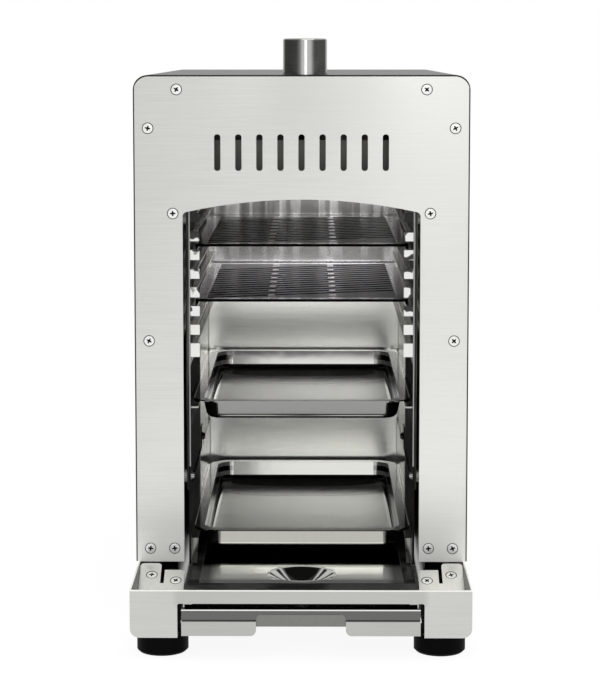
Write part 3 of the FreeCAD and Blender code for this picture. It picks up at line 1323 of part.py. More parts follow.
def make_gas_valve():
    piece = Piece("gas_valve", knob_x, knob_y, gas_level)
    wide, deep, tall = valve_width / 2, valve_depth / 2, valve_height / 2
    block = piece.sketch("XY", -tall)
    rectangle(block, -wide, wide, -deep, deep, block_round)
    piece.add("block", block, valve_height)
    neck = piece.sketch("XY", tall)
    circle(neck, 0, 0, valve_neck_radius)
    piece.add("neck", neck, valve_neck)
    inlet = piece.sketch("YZ", wide)
    circle(inlet, 0, 0, port_radius)
    piece.add("inlet", inlet, port_reach)
    outlet = piece.sketch("XZ", deep)
    circle(outlet, 0, 0, port_radius)
    piece.add("outlet", outlet, port_reach)
    bore = piece.sketch("XY", tall + valve_neck)
    circle(bore, 0, 0, stem_radius + stem_play)
    stem_low = stem_top - stem_length - press_travel - stem_end_play
    piece.cut("stem_bore", bore, bracket_top - bracket_sheet - stem_low, -1)
    for plane, at in (("YZ", wide + port_reach), ("XZ", deep + port_reach)):
        port = piece.sketch(plane, at)
        circle(port, 0, 0, pipe_radius - pipe_wall)
        piece.cut("port", port, port_reach, -1)

    bracket = Piece("valve_bracket", knob_x, knob_y)
    under = body_top - casing_sheet
    low = bracket_top - bracket_sheet
    leg, foot = bracket_half - bracket_sheet, bracket_half + bracket_foot
    section = bracket.sketch("XZ", -bracket_depth / 2)
    outline(section, [(-foot, under), (-leg, under), (-leg, bracket_top), (leg, bracket_top), (leg, under),
                      (foot, under), (foot, under - bracket_sheet), (bracket_half, under - bracket_sheet),
                      (bracket_half, low), (-bracket_half, low), (-bracket_half, under - bracket_sheet),
                      (-foot, under - bracket_sheet)])
    bracket.add("hat", section, bracket_depth)
    hole = bracket.sketch("XY", bracket_top)
    circle(hole, 0, 0, stem_radius + stem_play)
    bracket.cut("stem_hole", hole, bracket_sheet, -1)


def make_gas_line():
    nozzle = Piece("gas_nozzle", knob_x, knob_y + valve_depth / 2 + port_reach, gas_level)
    half = nozzle.sketch("YZ")
    outline(half, [(0, nozzle_bore), (0, port_radius), (nozzle_hex, port_radius), (nozzle_hex, nozzle_neck),
                   (nozzle_length - nozzle_tip, nozzle_neck), (nozzle_length, nozzle_end),
                   (nozzle_length, nozzle_bore)])
    nozzle.turn("nozzle", half, "H_Axis")

    pipe = Piece("gas_pipe", 0, 0, gas_level)
    start = knob_x + valve_width / 2 + port_reach
    path = pipe.sketch("XY")
    bent_path(path, (start, knob_y), (inlet_x, knob_y), (inlet_x, body_depth - inlet_inner), pipe_bend)
    add_tube(pipe, "YZ", start, pipe_radius, pipe_wall, {"sketch": path, "start": (knob_y, 0)})

    inlet = Piece("gas_inlet", inlet_x, body_depth, gas_level)
    bore = pipe_radius - pipe_wall
    half = inlet.sketch("YZ")
    spigot = pipe_radius + pipe_wall
    neck, neck_end = inlet_radius - thread_bevel, -casing_sheet - past
    outline(half, [(inlet_reach, bore), (inlet_reach, neck), (inlet_reach - thread_bevel, inlet_radius),
                   (thread_start, inlet_radius), (thread_start, neck), (neck_end, neck), (neck_end, spigot),
                   (-inlet_inner, spigot), (-inlet_inner, bore)])
    inlet.turn("nipple", half, "H_Axis")
    flats = inlet.sketch("XZ", -casing_sheet)
    hexagon(flats, 0, 0, inlet_hex / 2)
    circle(flats, 0, 0, bore)
    inlet.add("hexagon", flats, inlet_hex_length, -1)


def make_probes():
    bracket = Piece("probe_bracket", 0, probe_y, roof_top)
    plate = bracket.sketch("XY")
    reach = probe_x + probe_plate_past
    rectangle(plate, -reach, reach, -probe_plate / 2, probe_plate / 2)
    bracket.add("plate", plate, roof_sheet)
    holes = bracket.sketch("XY", roof_sheet)
    circle(holes, -probe_x, 0, probe_radius + seat_gap)
    circle(holes, probe_x, 0, pipe_radius / 2 + seat_gap)
    bracket.cut("probe_holes", holes, roof_sheet, -1)
    probes = (("ignition_electrode", -1, probe_radius), ("thermocouple", 1, pipe_radius / 2))
    for label, side, radius in probes:
        probe = Piece(label, side * probe_x, probe_y, 0)
        half = probe.sketch("XZ")
        collar, tip = roof_top + roof_sheet, probe_low - probe_tip
        collar_top, collar_side = collar + collar_height, radius + collar_out
        outline(half, [(0, tip), (probe_wire, tip), (probe_wire, probe_low), (radius, probe_low),
                       (radius, collar), (collar_side, collar), (collar_side, collar_top),
                       (radius, collar_top), (radius, probe_top), (0, probe_top)])
        probe.turn("probe", half)


def make_knob():
    stem = Piece("valve_stem", knob_x, knob_y)
    rod = stem.sketch("XY", stem_top)
    circle(rod, 0, 0, stem_radius)
    stem.add("rod", rod, stem_length, -1)
    flat_side = stem_radius - stem_flat
    flat = stem.sketch("XY", stem_top)
    rectangle(flat, flat_side, stem_radius + past, -stem_radius - past, stem_radius + past)
    stem.cut("flat", flat, stem_top - recess_top, -1)

    knob = Piece("control_knob", knob_x, knob_y)
    top = body_top + knob_rise
    half = knob.sketch("XZ")
    bore = stem_radius + stem_play
    outline(half, [(0, top), (knob_radius, top), (knob_radius, knob_low), (knob_bore_radius, knob_low),
                   (knob_bore_radius, recess_top), (bore, recess_top), (bore, stem_top + seat_gap),
                   (0, stem_top + seat_gap)], {1: knob_edge})
    knob.turn("knob", half)
    key = knob.sketch("XY", recess_top)
    rectangle(key, flat_side + stem_play, bore + key_sunk, -key_half, key_half)
    knob.add("key", key, stem_top + seat_gap / 2 - recess_top)

    cap = Piece("spring_cap", knob_x, knob_y, recess_top - ledge_play)
    ring = cap.sketch("XY")
    circle(ring, 0, 0, knob_bore_radius - 3 * stem_play)
    circle(ring, 0, 0, stem_radius + stem_play)
    cap.add("ring", ring, bracket_sheet, -1)

    low = bracket_top.number + spring_wire.number + ledge_play.number
    high = recess_top.number - 2 * ledge_play.number - bracket_sheet.number - spring_wire.number
    coil = Part.makeHelix((high - low) / spring_turns.number, high - low, spring_radius.number)
    reach, wire = spring_radius.number, spring_wire.number
    square = ((-1, -1), (-1, 1), (1, 1), (1, -1), (-1, -1))
    section = Part.makePolygon([vector(reach + x * wire, 0, z * wire) for x, z in square])
    spring = doc.addObject("Part::Feature", "stem_spring")
    spring.Shape = Part.Wire(coil.Edges).makePipeShell([section], True, True)
    spring.Label = "stem_spring"
    spring.Placement = FreeCAD.Placement(vector(knob_x.number, (knob_y + frame_shift).number, low),
                                         FreeCAD.Rotation())
    pieces.append(spring)


# The whole grill

make_base_tray()
make_feet()
make_front_panel()
make_casing()
make_back_panel()
make_panel_screws()
for name, side in SIDES.items():
    make_apron(name, side)
    make_frame(name, side)
    make_rack(name, side)
    make_lower_guide(name, side)
    make_pan_runner(name, side)
    make_drawer_runner(name, side)
make_apron_screws()
make_rack_fasteners()
make_back_wall()
make_roof()
make_drain_tray()
make_drawer_cover()
make_drawer_front()
make_drawer_tray()
make_grate("upper", upper_grate_level)
make_grate("lower", lower_grate_level)
make_pan("upper", upper_pan_top)
make_pan("lower", lower_pan_top)
make_burner()
make_mixing_tube()
make_gas_valve()
make_gas_line()
make_probes()
make_knob()
doc.recompute()

for item in doc.Objects:
    if "Invalid" in item.State or "Error" in item.State:
        raise ValueError(f"{item.Name} failed: {item.State}")
for piece in pieces:
    if piece.Shape.isNull() or not piece.Shape.isValid() or not piece.Shape.Solids:
        raise ValueError(f"{piece.Label} is not a valid solid")

os.makedirs("parts", exist_ok=True)
for piece in pieces:
    piece.Shape.exportStep(f"parts/{piece.Label}.step")
    print(piece.Label, len(piece.Shape.Solids), round(piece.Shape.Volume / 1000, 2))
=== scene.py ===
import json
import math

import bmesh
import bpy
from mathutils import Matrix, Vector


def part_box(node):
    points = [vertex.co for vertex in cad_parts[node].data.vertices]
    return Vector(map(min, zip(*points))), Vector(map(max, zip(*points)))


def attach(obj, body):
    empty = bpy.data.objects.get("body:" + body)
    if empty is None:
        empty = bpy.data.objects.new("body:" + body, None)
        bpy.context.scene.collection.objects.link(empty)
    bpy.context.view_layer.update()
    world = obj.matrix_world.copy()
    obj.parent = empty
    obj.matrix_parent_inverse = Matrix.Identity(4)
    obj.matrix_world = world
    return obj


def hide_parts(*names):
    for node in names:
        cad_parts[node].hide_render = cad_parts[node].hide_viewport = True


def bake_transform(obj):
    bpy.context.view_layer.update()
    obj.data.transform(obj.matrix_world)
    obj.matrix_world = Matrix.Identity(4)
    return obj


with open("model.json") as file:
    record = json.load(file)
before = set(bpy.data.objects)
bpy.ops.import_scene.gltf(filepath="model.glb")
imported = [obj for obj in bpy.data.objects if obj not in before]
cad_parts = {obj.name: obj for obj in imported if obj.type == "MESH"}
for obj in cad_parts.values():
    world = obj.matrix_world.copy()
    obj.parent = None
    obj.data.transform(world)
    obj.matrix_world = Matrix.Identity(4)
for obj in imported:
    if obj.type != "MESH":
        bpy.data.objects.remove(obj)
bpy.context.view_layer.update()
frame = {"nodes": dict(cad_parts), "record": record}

NODES = frame["nodes"]
MM = 0.001
PANEL_FACE = -0.171
BLACK, WHITE = (0, 0, 0), (1, 1, 1)


# Shader nodes

class Value:
    """A socket that carries a value through a node tree, with a finish's arithmetic."""

    def __init__(self, nodes, socket):
        self.nodes, self.socket = nodes, socket

    def maths(self, operation, *values):
        return self.nodes.node("ShaderNodeMath", {"operation": operation}, dict(enumerate(values)))

    def __add__(self, other):
        return self.maths("ADD", self, other)

    def __sub__(self, other):
        return self.maths("SUBTRACT", self, other)

    def __rsub__(self, other):
        return self.maths("SUBTRACT", other, self)

    def __mul__(self, other):
        return self.maths("MULTIPLY", self, other)

    def __truediv__(self, other):
        return self.maths("DIVIDE", self, other)

    def __rtruediv__(self, other):
        return self.maths("DIVIDE", other, self)

    def __pow__(self, other):
        return self.maths("POWER", self, other)

    def __neg__(self):
        return self.maths("MULTIPLY", self, -1)

    def __abs__(self):
        return self.maths("ABSOLUTE", self)

    __radd__, __rmul__ = __add__, __mul__

    def larger(self, other):
        return self.maths("MAXIMUM", self, other)

    def smaller(self, other):
        return self.maths("MINIMUM", self, other)

    def angle_over(self, other):
        """The angle whose tangent is this value over the other, in radians."""
        return self.maths("ARCTAN2", self, other)

    def sine(self):
        return self.maths("SINE", self)

    def fraction(self):
        return self.maths("FRACT", self)

    def step(self, low, high, start=0, end=1):
        """start below low, end above high and smooth between them."""
        inputs = {"Value": self, "From Min": low, "From Max": high, "To Min": start, "To Max": end}
        return self.nodes.node("ShaderNodeMapRange", {"interpolation_type": "SMOOTHSTEP"}, inputs)

    def between(self, low, high, soft):
        """1 from low to high, with soft edges outside them."""
        return self.step(low - soft, low) * (1 - self.step(high, high + soft))


class Nodes:
    """A node tree in the making."""

    def __init__(self, tree):
        self.tree = tree

    def fill(self, socket, value):
        """Links a value to a socket, or stores a constant in it."""
        if isinstance(value, Value):
            self.tree.links.new(value.socket, socket)
        elif isinstance(value, tuple) and socket.type == "RGBA":
            socket.default_value = (*value, 1)
        else:
            socket.default_value = value

    def make(self, kind, settings=None, inputs=None):
        """Adds a node, gives it its settings, then its sockets' constants or links."""
        node = self.tree.nodes.new(kind)
        for name, value in (settings or {}).items():
            setattr(node, name, value)
        for name, value in (inputs or {}).items():
            self.fill(node.inputs[name], value)
        return node

    def node(self, kind, settings=None, inputs=None, output=0):
        """Makes a node and returns one of its outputs."""
        return Value(self, self.make(kind, settings, inputs).outputs[output])

    def part(self, vector, axis):
        """One of a vector's three parts."""
        return self.node("ShaderNodeSeparateXYZ", None, {0: vector}, axis)

    def ray(self, kind):
        """1 for rays of that kind, else 0."""
        return self.node("ShaderNodeLightPath", output=f"Is {kind} Ray")


class Finish(Nodes):
    """A material in the making."""

    def __init__(self, name, **constants):
        self.material = bpy.data.materials.new(name)
        self.material.use_nodes = True
        super().__init__(self.material.node_tree)
        self.shader = self.tree.nodes["Principled BSDF"]
        self.place = self.node("ShaderNodeTexCoord", output="Object")
        self.normal = self.node("ShaderNodeNewGeometry", output="Normal")
        for socket, value in constants.items():
            self.set(socket.replace("_", " "), value)

    def set(self, socket, value):
        self.fill(self.shader.inputs[socket], value)

    def at(self, axis):
        """The place on the piece along one axis, in metres."""
        return self.part(self.place, axis)

    def facing(self, axis):
        """How far the surface turns towards one axis, from -1 to 1."""
        return self.part(self.normal, axis)

    def noise(self, scale, detail, roughness, stretch=(1, 1, 1)):
        """Noise from 0 to 1, after the place is multiplied by stretch."""
        factors = {0: self.place, 1: stretch}
        place = self.node("ShaderNodeVectorMath", {"operation": "MULTIPLY"}, factors)
        inputs = {"Vector": place, "Scale": scale, "Detail": detail, "Roughness": roughness}
        return self.node("ShaderNodeTexNoise", None, inputs)

    def blend(self, factor, low, high):
        """A colour between two colours."""
        return self.node("ShaderNodeMix", {"data_type": "RGBA"}, {0: factor, 6: low, 7: high}, 2)

    def bump(self, height, distance, strength):
        inputs = {"Height": height, "Distance": distance, "Strength": strength}
        self.set("Normal", self.node("ShaderNodeBump", None, inputs))


# Finishes

GRAIN = {"X": (0.03, 1, 1), "Y": (1, 0.03, 1)}
GRAIN_DEPTH = 0.00002

# Places and sizes on the object, in metres
PANEL_TOP, PANEL_SIDE = 0.399, 0.1188
BASE_FRONT, BASE_BACK, BASE_SIDE = -0.2500, 0.2378, 0.1169
LEVEL_TOP, LEVEL_PITCH, TEETH_SIDE = 0.3014, 0.0137, 0.0810
COVER_FACE = -0.1995
FUNNEL_CENTRE, FUNNEL_RADIUS, WEDGES_CENTRE = -0.173, 0.0235, -0.1975
DRAWER_LIP = 0.0338
PAN_FRONT, PAN_CENTRE, PAN_BACK, PAN_SIDE = -0.1254, 0.0065, 0.1384, 0.0800
PAN_RIM, PAN_SPACING = 0.0619, 0.0974
REFLECTION_PLACE, REFLECTION_SHIFT = 0.044, 0.016
GRATE_FRONT, GRATE_BACK, GRATE_SIDE = -0.1122, 0.1322, 0.0700
SLOT_PITCH, SLOT_SHIFT, BRIDGE_PLACE = 0.015, 0.0906, 0.023
KNOB_PLACE, KNOB_RADIUS = 0.0024, 0.016
# The slots' slope, the bow of the painted reflection band across a pan's floor, and the funnel's
# painted reflection wedges to a turn
SLOT_SLOPE, REFLECTION_BOW, FUNNEL_WEDGES = 0.3346, 800, 26


def grey(level, warm=0.04):
    """A metal's grey, with a share of its blue taken away."""
    return (level, level, level * (1 - warm))


def brushed(finish, level, along, contrast=0.07):
    """The grain and the colour of sheet brushed along one axis."""
    grain = finish.noise(750, 4, 0.7, GRAIN[along])
    cloud = finish.noise(7, 2, 0.5)
    tone = grain * 1.2 + cloud * 0.9 - 0.55
    return grain, finish.blend(tone, grey(level * (1 - contrast)), grey(level * (1 + contrast)))


def set_grain(finish, grain, rough):
    """Gives brushed sheet its roughness and its fine relief."""
    finish.set("Roughness", grain * 0.10 + rough)
    finish.bump(grain, GRAIN_DEPTH, 0.35)


def polished(finish, level, contrast, warm=0.05):
    """The wiping marks, the waves and the colour of smooth steel."""
    wipe = finish.noise(420, 3, 0.6, (1, 0.15, 1))
    wave = finish.noise(26, 2, 0.5)
    dull, bright = grey(level * (1 - contrast), warm), grey(level * (1 + contrast), warm)
    return wipe, wave, finish.blend(wipe, dull, bright)


def panel_steel():
    """The front panel: level grain, with painted shade in the upper middle and towards the top,
    painted light to the right and at the foot, cut edges and back painted dark as shade, a painted
    shadow along the sides and a painted highlight on the top edge.
    """
    finish = Finish("panel steel")
    x, z = map(finish.at, "XZ")
    ny, nz = map(finish.facing, "YZ")
    grain, colour = brushed(finish, 0.73, "X", 0.10)
    # painted shade: a darker band in the upper middle
    painted_shade_middle = (x - 0.02).between(-0.02, 0.02, 0.05) * z.step(0.33, 0.40)
    colour = finish.blend(painted_shade_middle * 0.35, colour, grey(0.50))
    # painted shade: the panel darkens towards the top
    painted_shade_colour = finish.blend(0.86, BLACK, colour)
    upper = z.step(0.10, 0.34)
    colour = finish.blend(upper, colour, painted_shade_colour)
    # painted light: lighter towards the right
    right = x.step(-0.02, 0.11)
    colour = finish.blend(right * 0.35, colour, grey(0.92))
    # painted light: lighter at the foot
    foot = 1 - z.step(0.052, 0.082)
    colour = finish.blend(foot, colour, grey(0.96))
    # painted shade: the faces other than the front are dark
    front = (-ny).step(0.4, 0.8)
    colour = finish.blend(front, grey(0.16), colour)
    # painted highlight along the top edge
    painted_highlight_top = nz.step(0.4, 0.8) * z.step(PANEL_TOP, PANEL_TOP + 0.0005)
    colour = finish.blend(painted_highlight_top, colour, grey(0.9))
    # painted shadow along the side edges
    painted_shadow_side = abs(x).step(PANEL_SIDE, PANEL_SIDE + 0.0002)
    colour = finish.blend(painted_shadow_side, colour, grey(0.10))
    finish.set("Base Color", colour)
    finish.set("Metallic", z.step(0.060, 0.125) * 0.8 + 0.2)
    set_grain(finish, grain, 0.27)
    return finish.material


def casing_steel():
    """The casing: grain from front to back, a top darkened as painted shade, and a lip behind the
    panel painted black as shadow.
    """
    finish = Finish("casing steel", Specular_IOR_Level=0.1, Specular_Tint=grey(0.22, 0))
    grain, side = brushed(finish, 0.62, "Y")
    # painted shade: the top is darker than the sides
    _, top = brushed(finish, 0.52, "X")
    colour = finish.blend(finish.facing("Z").step(0.2, 0.9), side, top)
    # painted shadow: the lip behind the panel is black and not metal
    lip = 1 - finish.at("Y").step(-0.1635, -0.1625)
    finish.set("Base Color", finish.blend(lip, colour, grey(0.02)))
    finish.set("Metallic", 1 - lip)
    set_grain(finish, grain, 0.30)
    return finish.material


def base_steel():
    """The base tray: brushed outside, painted dark inside as shade but painted pale beside the
    racks as light, with a painted highlight on the rim.
    """
    finish = Finish("base steel")
    x, y, z = map(finish.at, "XYZ")
    grain, colour = brushed(finish, 0.62, "X", 0.09)
    # painted shade: the inside of the tray is dark
    across = 1 - abs(x).step(BASE_SIDE, BASE_SIDE + 0.0003)
    inside = across * y.between(BASE_FRONT, BASE_BACK, 0.0003) * z.step(0.0158, 0.0162)
    colour = finish.blend(inside, colour, grey(0.07))
    # painted light: pale and less metallic beside the racks
    beside_racks = abs(x).step(0.084, 0.085) * y.step(-0.17, -0.165) * inside
    colour = finish.blend(beside_racks, colour, grey(0.85))
    over_drawer = (1 - abs(x).step(0.084, 0.090)) * z.step(0.036, 0.039)
    colour = finish.blend(over_drawer * 0.6, colour, grey(0.46))
    # painted highlight along the rim
    rim = z.step(0.0480, 0.0483) * (1 - inside)
    finish.set("Base Color", finish.blend(rim, colour, grey(0.98)))
    finish.set("Metallic", 1 - beside_racks * 0.6)
    set_grain(finish, grain, 0.28)
    return finish.material


def apron_steel():
    """The sloping plates: bright faces, with cut edges and low parts painted black as shade."""
    finish = Finish("apron steel", Metallic=1.0, Specular_Tint=grey(0.4, 0))
    grain, colour = brushed(finish, 0.80, "Y")
    # painted shade: all but the upper faces above 30 mm are black
    face = finish.facing("Z").step(0.7, 0.85) * finish.at("Z").step(0.030, 0.032)
    finish.set("Base Color", finish.blend(face, grey(0.008), colour))
    set_grain(finish, grain, 0.24)
    return finish.material


def frame_steel():
    """The side frames, in shadow between the panel and the racks."""
    finish = Finish("frame steel", Metallic=1.0)
    wipe, wave, colour = polished(finish, 0.34, 0.2)
    finish.set("Base Color", colour)
    finish.set("Roughness", wipe * 0.08 + 0.30)
    finish.bump(wave, 0.0004, 0.25)
    return finish.material


def rack_sides(finish, colour, shade):
    """The racks' sides: painted light at the back and at the top, and painted shade where shade is
    1.
    """
    # painted light towards the back and the top
    colour = finish.blend(finish.at("Y").step(0.005, 0.020), colour, grey(0.80))
    colour = finish.blend(finish.at("Z").step(0.185, 0.20), colour, grey(0.85))
    return finish.blend(shade, colour, grey(0.01))


def rack_teeth(finish):
    """The teeth's front, darkened as painted shade high up towards the burner, with a border
    painted dark as shade.
    """
    x, z = map(finish.at, "XZ")
    # painted shade: high up, the lower half of each level is dark, with dark patches
    painted_shade_high = z.step(0.20, 0.27)
    lower_half = 1 - ((z - LEVEL_TOP) / LEVEL_PITCH).fraction().step(0.35, 0.45)
    painted_shade_patch = finish.noise(90, 1, 0.5, (1, 1, 1.3)).step(0.50, 0.54)
    colour = finish.blend(lower_half * painted_shade_high, grey(0.80), grey(0.03))
    colour = finish.blend(painted_shade_patch * z.step(0.222, 0.226), colour, grey(0.05))
    # painted shade: black above the top tooth
    colour = finish.blend(z.step(0.2865, 0.2870), colour, grey(0.03))
    # painted shade: a streaked dark border with a lighter strip
    streak = finish.noise(1500, 2, 0.5, (1, 1, 0.01)).step(0.5, 0.62)
    border = finish.blend(streak, grey(0.03), grey(0.16))
    border = finish.blend(abs(x).between(0.0814, 0.0821, 0.0002), border, grey(0.36))
    return finish.blend(abs(x).step(TEETH_SIDE, TEETH_SIDE + 0.0003), colour, border)


def rack_steel():
    """The racks: ledge tops painted light, undersides painted dark as shade, and teeth darkened as
    painted shade towards the burner.
    """
    finish = Finish("rack steel", Specular_IOR_Level=0.1)
    y, z = map(finish.at, "YZ")
    nx, ny, nz = map(finish.facing, "XYZ")
    wipe, wave, colour = polished(finish, 0.34, 0.12)
    # painted shade: the sides towards the front, below the top, are black and not metal
    shade = abs(nx).step(0.7, 0.9) * (1 - y.step(0.005, 0.020)) * (1 - z.step(0.183, 0.186))
    colour = rack_sides(finish, colour, shade)
    colour = finish.blend((-ny).step(0.4, 0.8), colour, rack_teeth(finish))
    # painted light on the ledges' tops
    colour = finish.blend(nz.step(0.4, 0.8), colour, grey(0.75))
    # painted shade on the undersides
    colour = finish.blend((-nz).step(0.3, 0.7), colour, grey(0.05))
    finish.set("Base Color", colour)
    finish.set("Metallic", 1 - shade)
    finish.set("Roughness", wipe * 0.08 + shade * 0.4 + 0.14)
    finish.bump(wave, 0.0006, 0.3)
    return finish.material


def guide_steel():
    """The lower guides: nearly like a mirror, with sides painted dark as shade."""
    finish = Finish("guide steel", Specular_IOR_Level=0.1)
    wipe, wave, colour = polished(finish, 0.42, 0.1)
    # painted shade: dark sides, black and not metal towards the front
    side = abs(finish.at("X")).step(0.0812, 0.0816)
    shade = side * (1 - finish.at("Y").step(-0.03, 0.0))
    dark = finish.blend(shade, grey(0.06), grey(0.01))
    finish.set("Base Color", finish.blend(side, colour, dark))
    finish.set("Metallic", 1 - shade)
    finish.set("Roughness", wipe * 0.06 + shade * 0.4 + 0.07)
    finish.bump(wave, 0.0006, 0.3)
    return finish.material


def wall_steel():
    """The back wall: bright, with level grain, and upright stripes close to the burner."""
    finish = Finish("wall steel", Metallic=1.0)
    z = finish.at("Z")
    grain = finish.noise(700, 3, 0.6, GRAIN["X"])
    cloud = finish.noise(11, 2, 0.5, (1, 1, 0.35))
    tone = cloud * 1.4 + grain * 0.4 - 0.4
    colour = finish.blend(tone, grey(0.96, 0.05), grey(0.999, 0.05))
    stripe = finish.noise(95, 2, 0.5, (1, 1, 0.05)).step(0.40, 0.52)
    tinted = finish.blend(z.step(0.262, 0.272), grey(0.62, 0.07), grey(0.42, 0.07))
    colour = finish.blend(stripe * z.step(0.23, 0.25), colour, tinted)
    finish.set("Base Color", colour)
    finish.set("Roughness", grain * 0.06 + 0.16)
    waves = finish.noise(60, 2, 0.5, (1, 1, 0.06)) * z.step(0.24, 0.27)
    finish.bump(waves * 1.5 + grain * 0.01 + cloud * 0.4, 0.0012, 0.5)
    return finish.material


def funnel_reflections(finish, x, y):
    """The colour of the painted reflections round the funnel, in bright and dark wedges, and the
    mask of a wedge of painted shade behind its centre.
    """
    # painted reflections: bright and dark wedges by the angle round the funnel
    angle = (y - WEDGES_CENTRE).angle_over(abs(x))
    reflection_wedges = (angle * FUNNEL_WEDGES).sine().step(-0.7, -0.3)
    return finish.blend(reflection_wedges, grey(0.05), grey(0.98)), angle.step(1.20, 1.28)


def drain_steel():
    """The drain tray and the cover in front of it: like a mirror, with sides and the cover's face
    painted dark as shadow, and a funnel with painted reflections and a painted highlight round it.
    """
    finish = Finish("drain steel", Specular_IOR_Level=0.1)
    x, y = map(finish.at, "XY")
    wipe, wave, colour = polished(finish, 0.94, 0.04)
    colour = finish.blend(y.step(-0.193, -0.180), grey(0.55), colour)
    colour = finish.blend(abs(x).step(0.060, 0.068), colour, grey(0.25))
    from_funnel = y - FUNNEL_CENTRE
    across = (x * x + from_funnel * from_funnel) ** 0.5
    funnel = 1 - across.step(FUNNEL_RADIUS, FUNNEL_RADIUS + 0.0017)
    # painted reflections on the funnel, and a black wedge of painted shade
    painted_reflection, dark_wedge = funnel_reflections(finish, x, y)
    colour = finish.blend(funnel, colour, painted_reflection)
    colour = finish.blend(funnel * dark_wedge, colour, grey(0.01))
    # painted highlight round the funnel
    rim = across.between(0.0238, 0.0254, 0.0006)
    colour = finish.blend(rim, colour, grey(0.98))
    # painted shadow at the sides and on the cover's face
    dark = abs(x).step(0.0725, 0.0735).larger(1 - y.step(COVER_FACE, COVER_FACE + 0.0003))
    shadow = finish.blend(wave.step(0.4, 0.6), grey(0.010), grey(0.05))
    finish.set("Base Color", finish.blend(dark, colour, shadow))
    front = 1 - y.step(-0.158, -0.142)
    plain = (front * 0.45).larger(funnel)
    finish.set("Metallic", (1 - plain) * (1 - dark))
    finish.set("Roughness", wipe * 0.04 + dark * 0.45 + 0.04)
    finish.bump(wave, 0.0006, 0.12)
    return finish.material


def drawer_steel():
    """The drawer's front: a hollow painted dark as shade under a lip with a painted highlight, a
    gap over it painted black as shadow, and other faces painted dark as shade.
    """
    finish = Finish("drawer steel", Metallic=1.0)
    z = finish.at("Z")
    grain, colour = brushed(finish, 0.50, "X")
    # painted shade in the hollow
    hollow = z.between(0.0272, DRAWER_LIP, 0.0006)
    colour = finish.blend(hollow, colour, grey(0.15))
    # painted highlight along the lip, then the gap above it painted black as shadow
    colour = finish.blend(z.step(DRAWER_LIP, DRAWER_LIP + 0.0005), colour, grey(0.90))
    colour = finish.blend(z.step(0.0351, 0.0353), colour, grey(0.01))
    # painted shade on the faces other than the front
    front = (-finish.facing("Y")).step(0.2, 0.6)
    finish.set("Base Color", finish.blend(front, grey(0.06), colour))
    set_grain(finish, grain, 0.24)
    return finish.material


def tray_steel():
    """The drawer's tray and the cover behind the base's front."""
    finish = Finish("tray steel", Metallic=1.0)
    wipe, wave, colour = polished(finish, 0.22, 0.1)
    finish.set("Base Color", colour)
    finish.set("Roughness", wipe * 0.08 + 0.22)
    finish.bump(wave, 0.0005, 0.25)
    return finish.material


def pan_steel():
    """A drawn pan: smooth walls and a rim with painted highlights, and a satin floor; painted shade
    makes the upper pan's floor darker and the undersides dark, walls get greys by the way they face
    as painted light and shade, and a painted reflection band lies across the floor.
    """
    finish = Finish("pan steel", Specular_Tint=grey(0.88, 0))
    x, y, z = map(finish.at, "XYZ")
    nx, ny, nz = map(finish.facing, "XYZ")
    wave = finish.noise(34, 2, 0.5)
    grain = finish.noise(900, 3, 0.6, GRAIN["Y"])
    low = 1 - z.step(0.10, 0.11)

    bright = finish.blend(grain, grey(0.38, 0.06), grey(0.50, 0.06))
    # painted shade: the upper pan's floor is darker than the lower pan's
    painted_shade_upper_floor = finish.blend(grain, grey(0.15, 0.07), grey(0.24, 0.07))
    lower_floor = finish.blend(grain, grey(0.26, 0.07), grey(0.38, 0.07))
    floor = nz.step(0.95, 0.995) * (1 - abs(x).step(0.068, 0.071))
    colour = finish.blend(floor, bright, finish.blend(low, painted_shade_upper_floor, lower_floor))

    # painted light and shade: walls get greys by the way they face, the lower pan's outer walls
    # lightest
    side = nx * x * 30 + ny * (y - PAN_CENTRE) * 20
    outward, inward = side.step(0.1, 0.6), (-side).step(0.1, 0.6)
    colour = finish.blend(inward, colour, grey(0.32, 0.05))
    colour = finish.blend(outward, colour, finish.blend(low, grey(0.30), grey(0.60)))
    height = z - PAN_RIM - (1 - low) * PAN_SPACING
    # painted highlights: two bright lines under the rim on the inner sides
    lines = height.between(-0.0030, -0.0006, 0.0004) + height.between(-0.0105, -0.0075, 0.0006)
    glint = inward * abs(x).step(0.060, 0.064) * lines
    colour = finish.blend(glint, colour, grey(0.95))

    # painted reflection: a pale band across the floor towards the back, with a dark line in front
    # of it
    behind = y - REFLECTION_PLACE - low * REFLECTION_SHIFT - x * x * x * x * REFLECTION_BOW
    reflection_band = floor * behind.between(0.0, 0.034, 0.004)
    colour = finish.blend(reflection_band, colour, grey(0.70, 0.07))
    painted_dark_line = floor * behind.between(-0.0022, -0.0004, 0.0008)
    colour = finish.blend(painted_dark_line, colour, grey(0.03))

    # painted highlight on the flange's outer edges, painted shade on the rest of the flange
    flange = nz.step(0.9, 0.99) * (1 - floor)
    edge = (abs(x).step(PAN_SIDE, PAN_SIDE + 0.0003) + y.step(PAN_BACK, PAN_BACK + 0.0003)
            + (1 - y.step(PAN_FRONT - 0.0003, PAN_FRONT)))
    colour = finish.blend(flange, colour, finish.blend(edge, grey(0.06), grey(0.98)))
    # painted shade underneath
    painted_shade_underside = (-nz).step(0.5, 0.9)
    finish.set("Base Color", finish.blend(painted_shade_underside, colour, grey(0.10)))
    finish.set("Metallic", 1 - floor * 0.35 - reflection_band * 0.45 - glint * 0.5 - flange * edge * 0.8)
    finish.set("Roughness", floor * 0.09 + grain * 0.05 + 0.05)
    finish.bump(wave + floor * grain * 0.05, 0.0006, 0.12)
    return finish.material


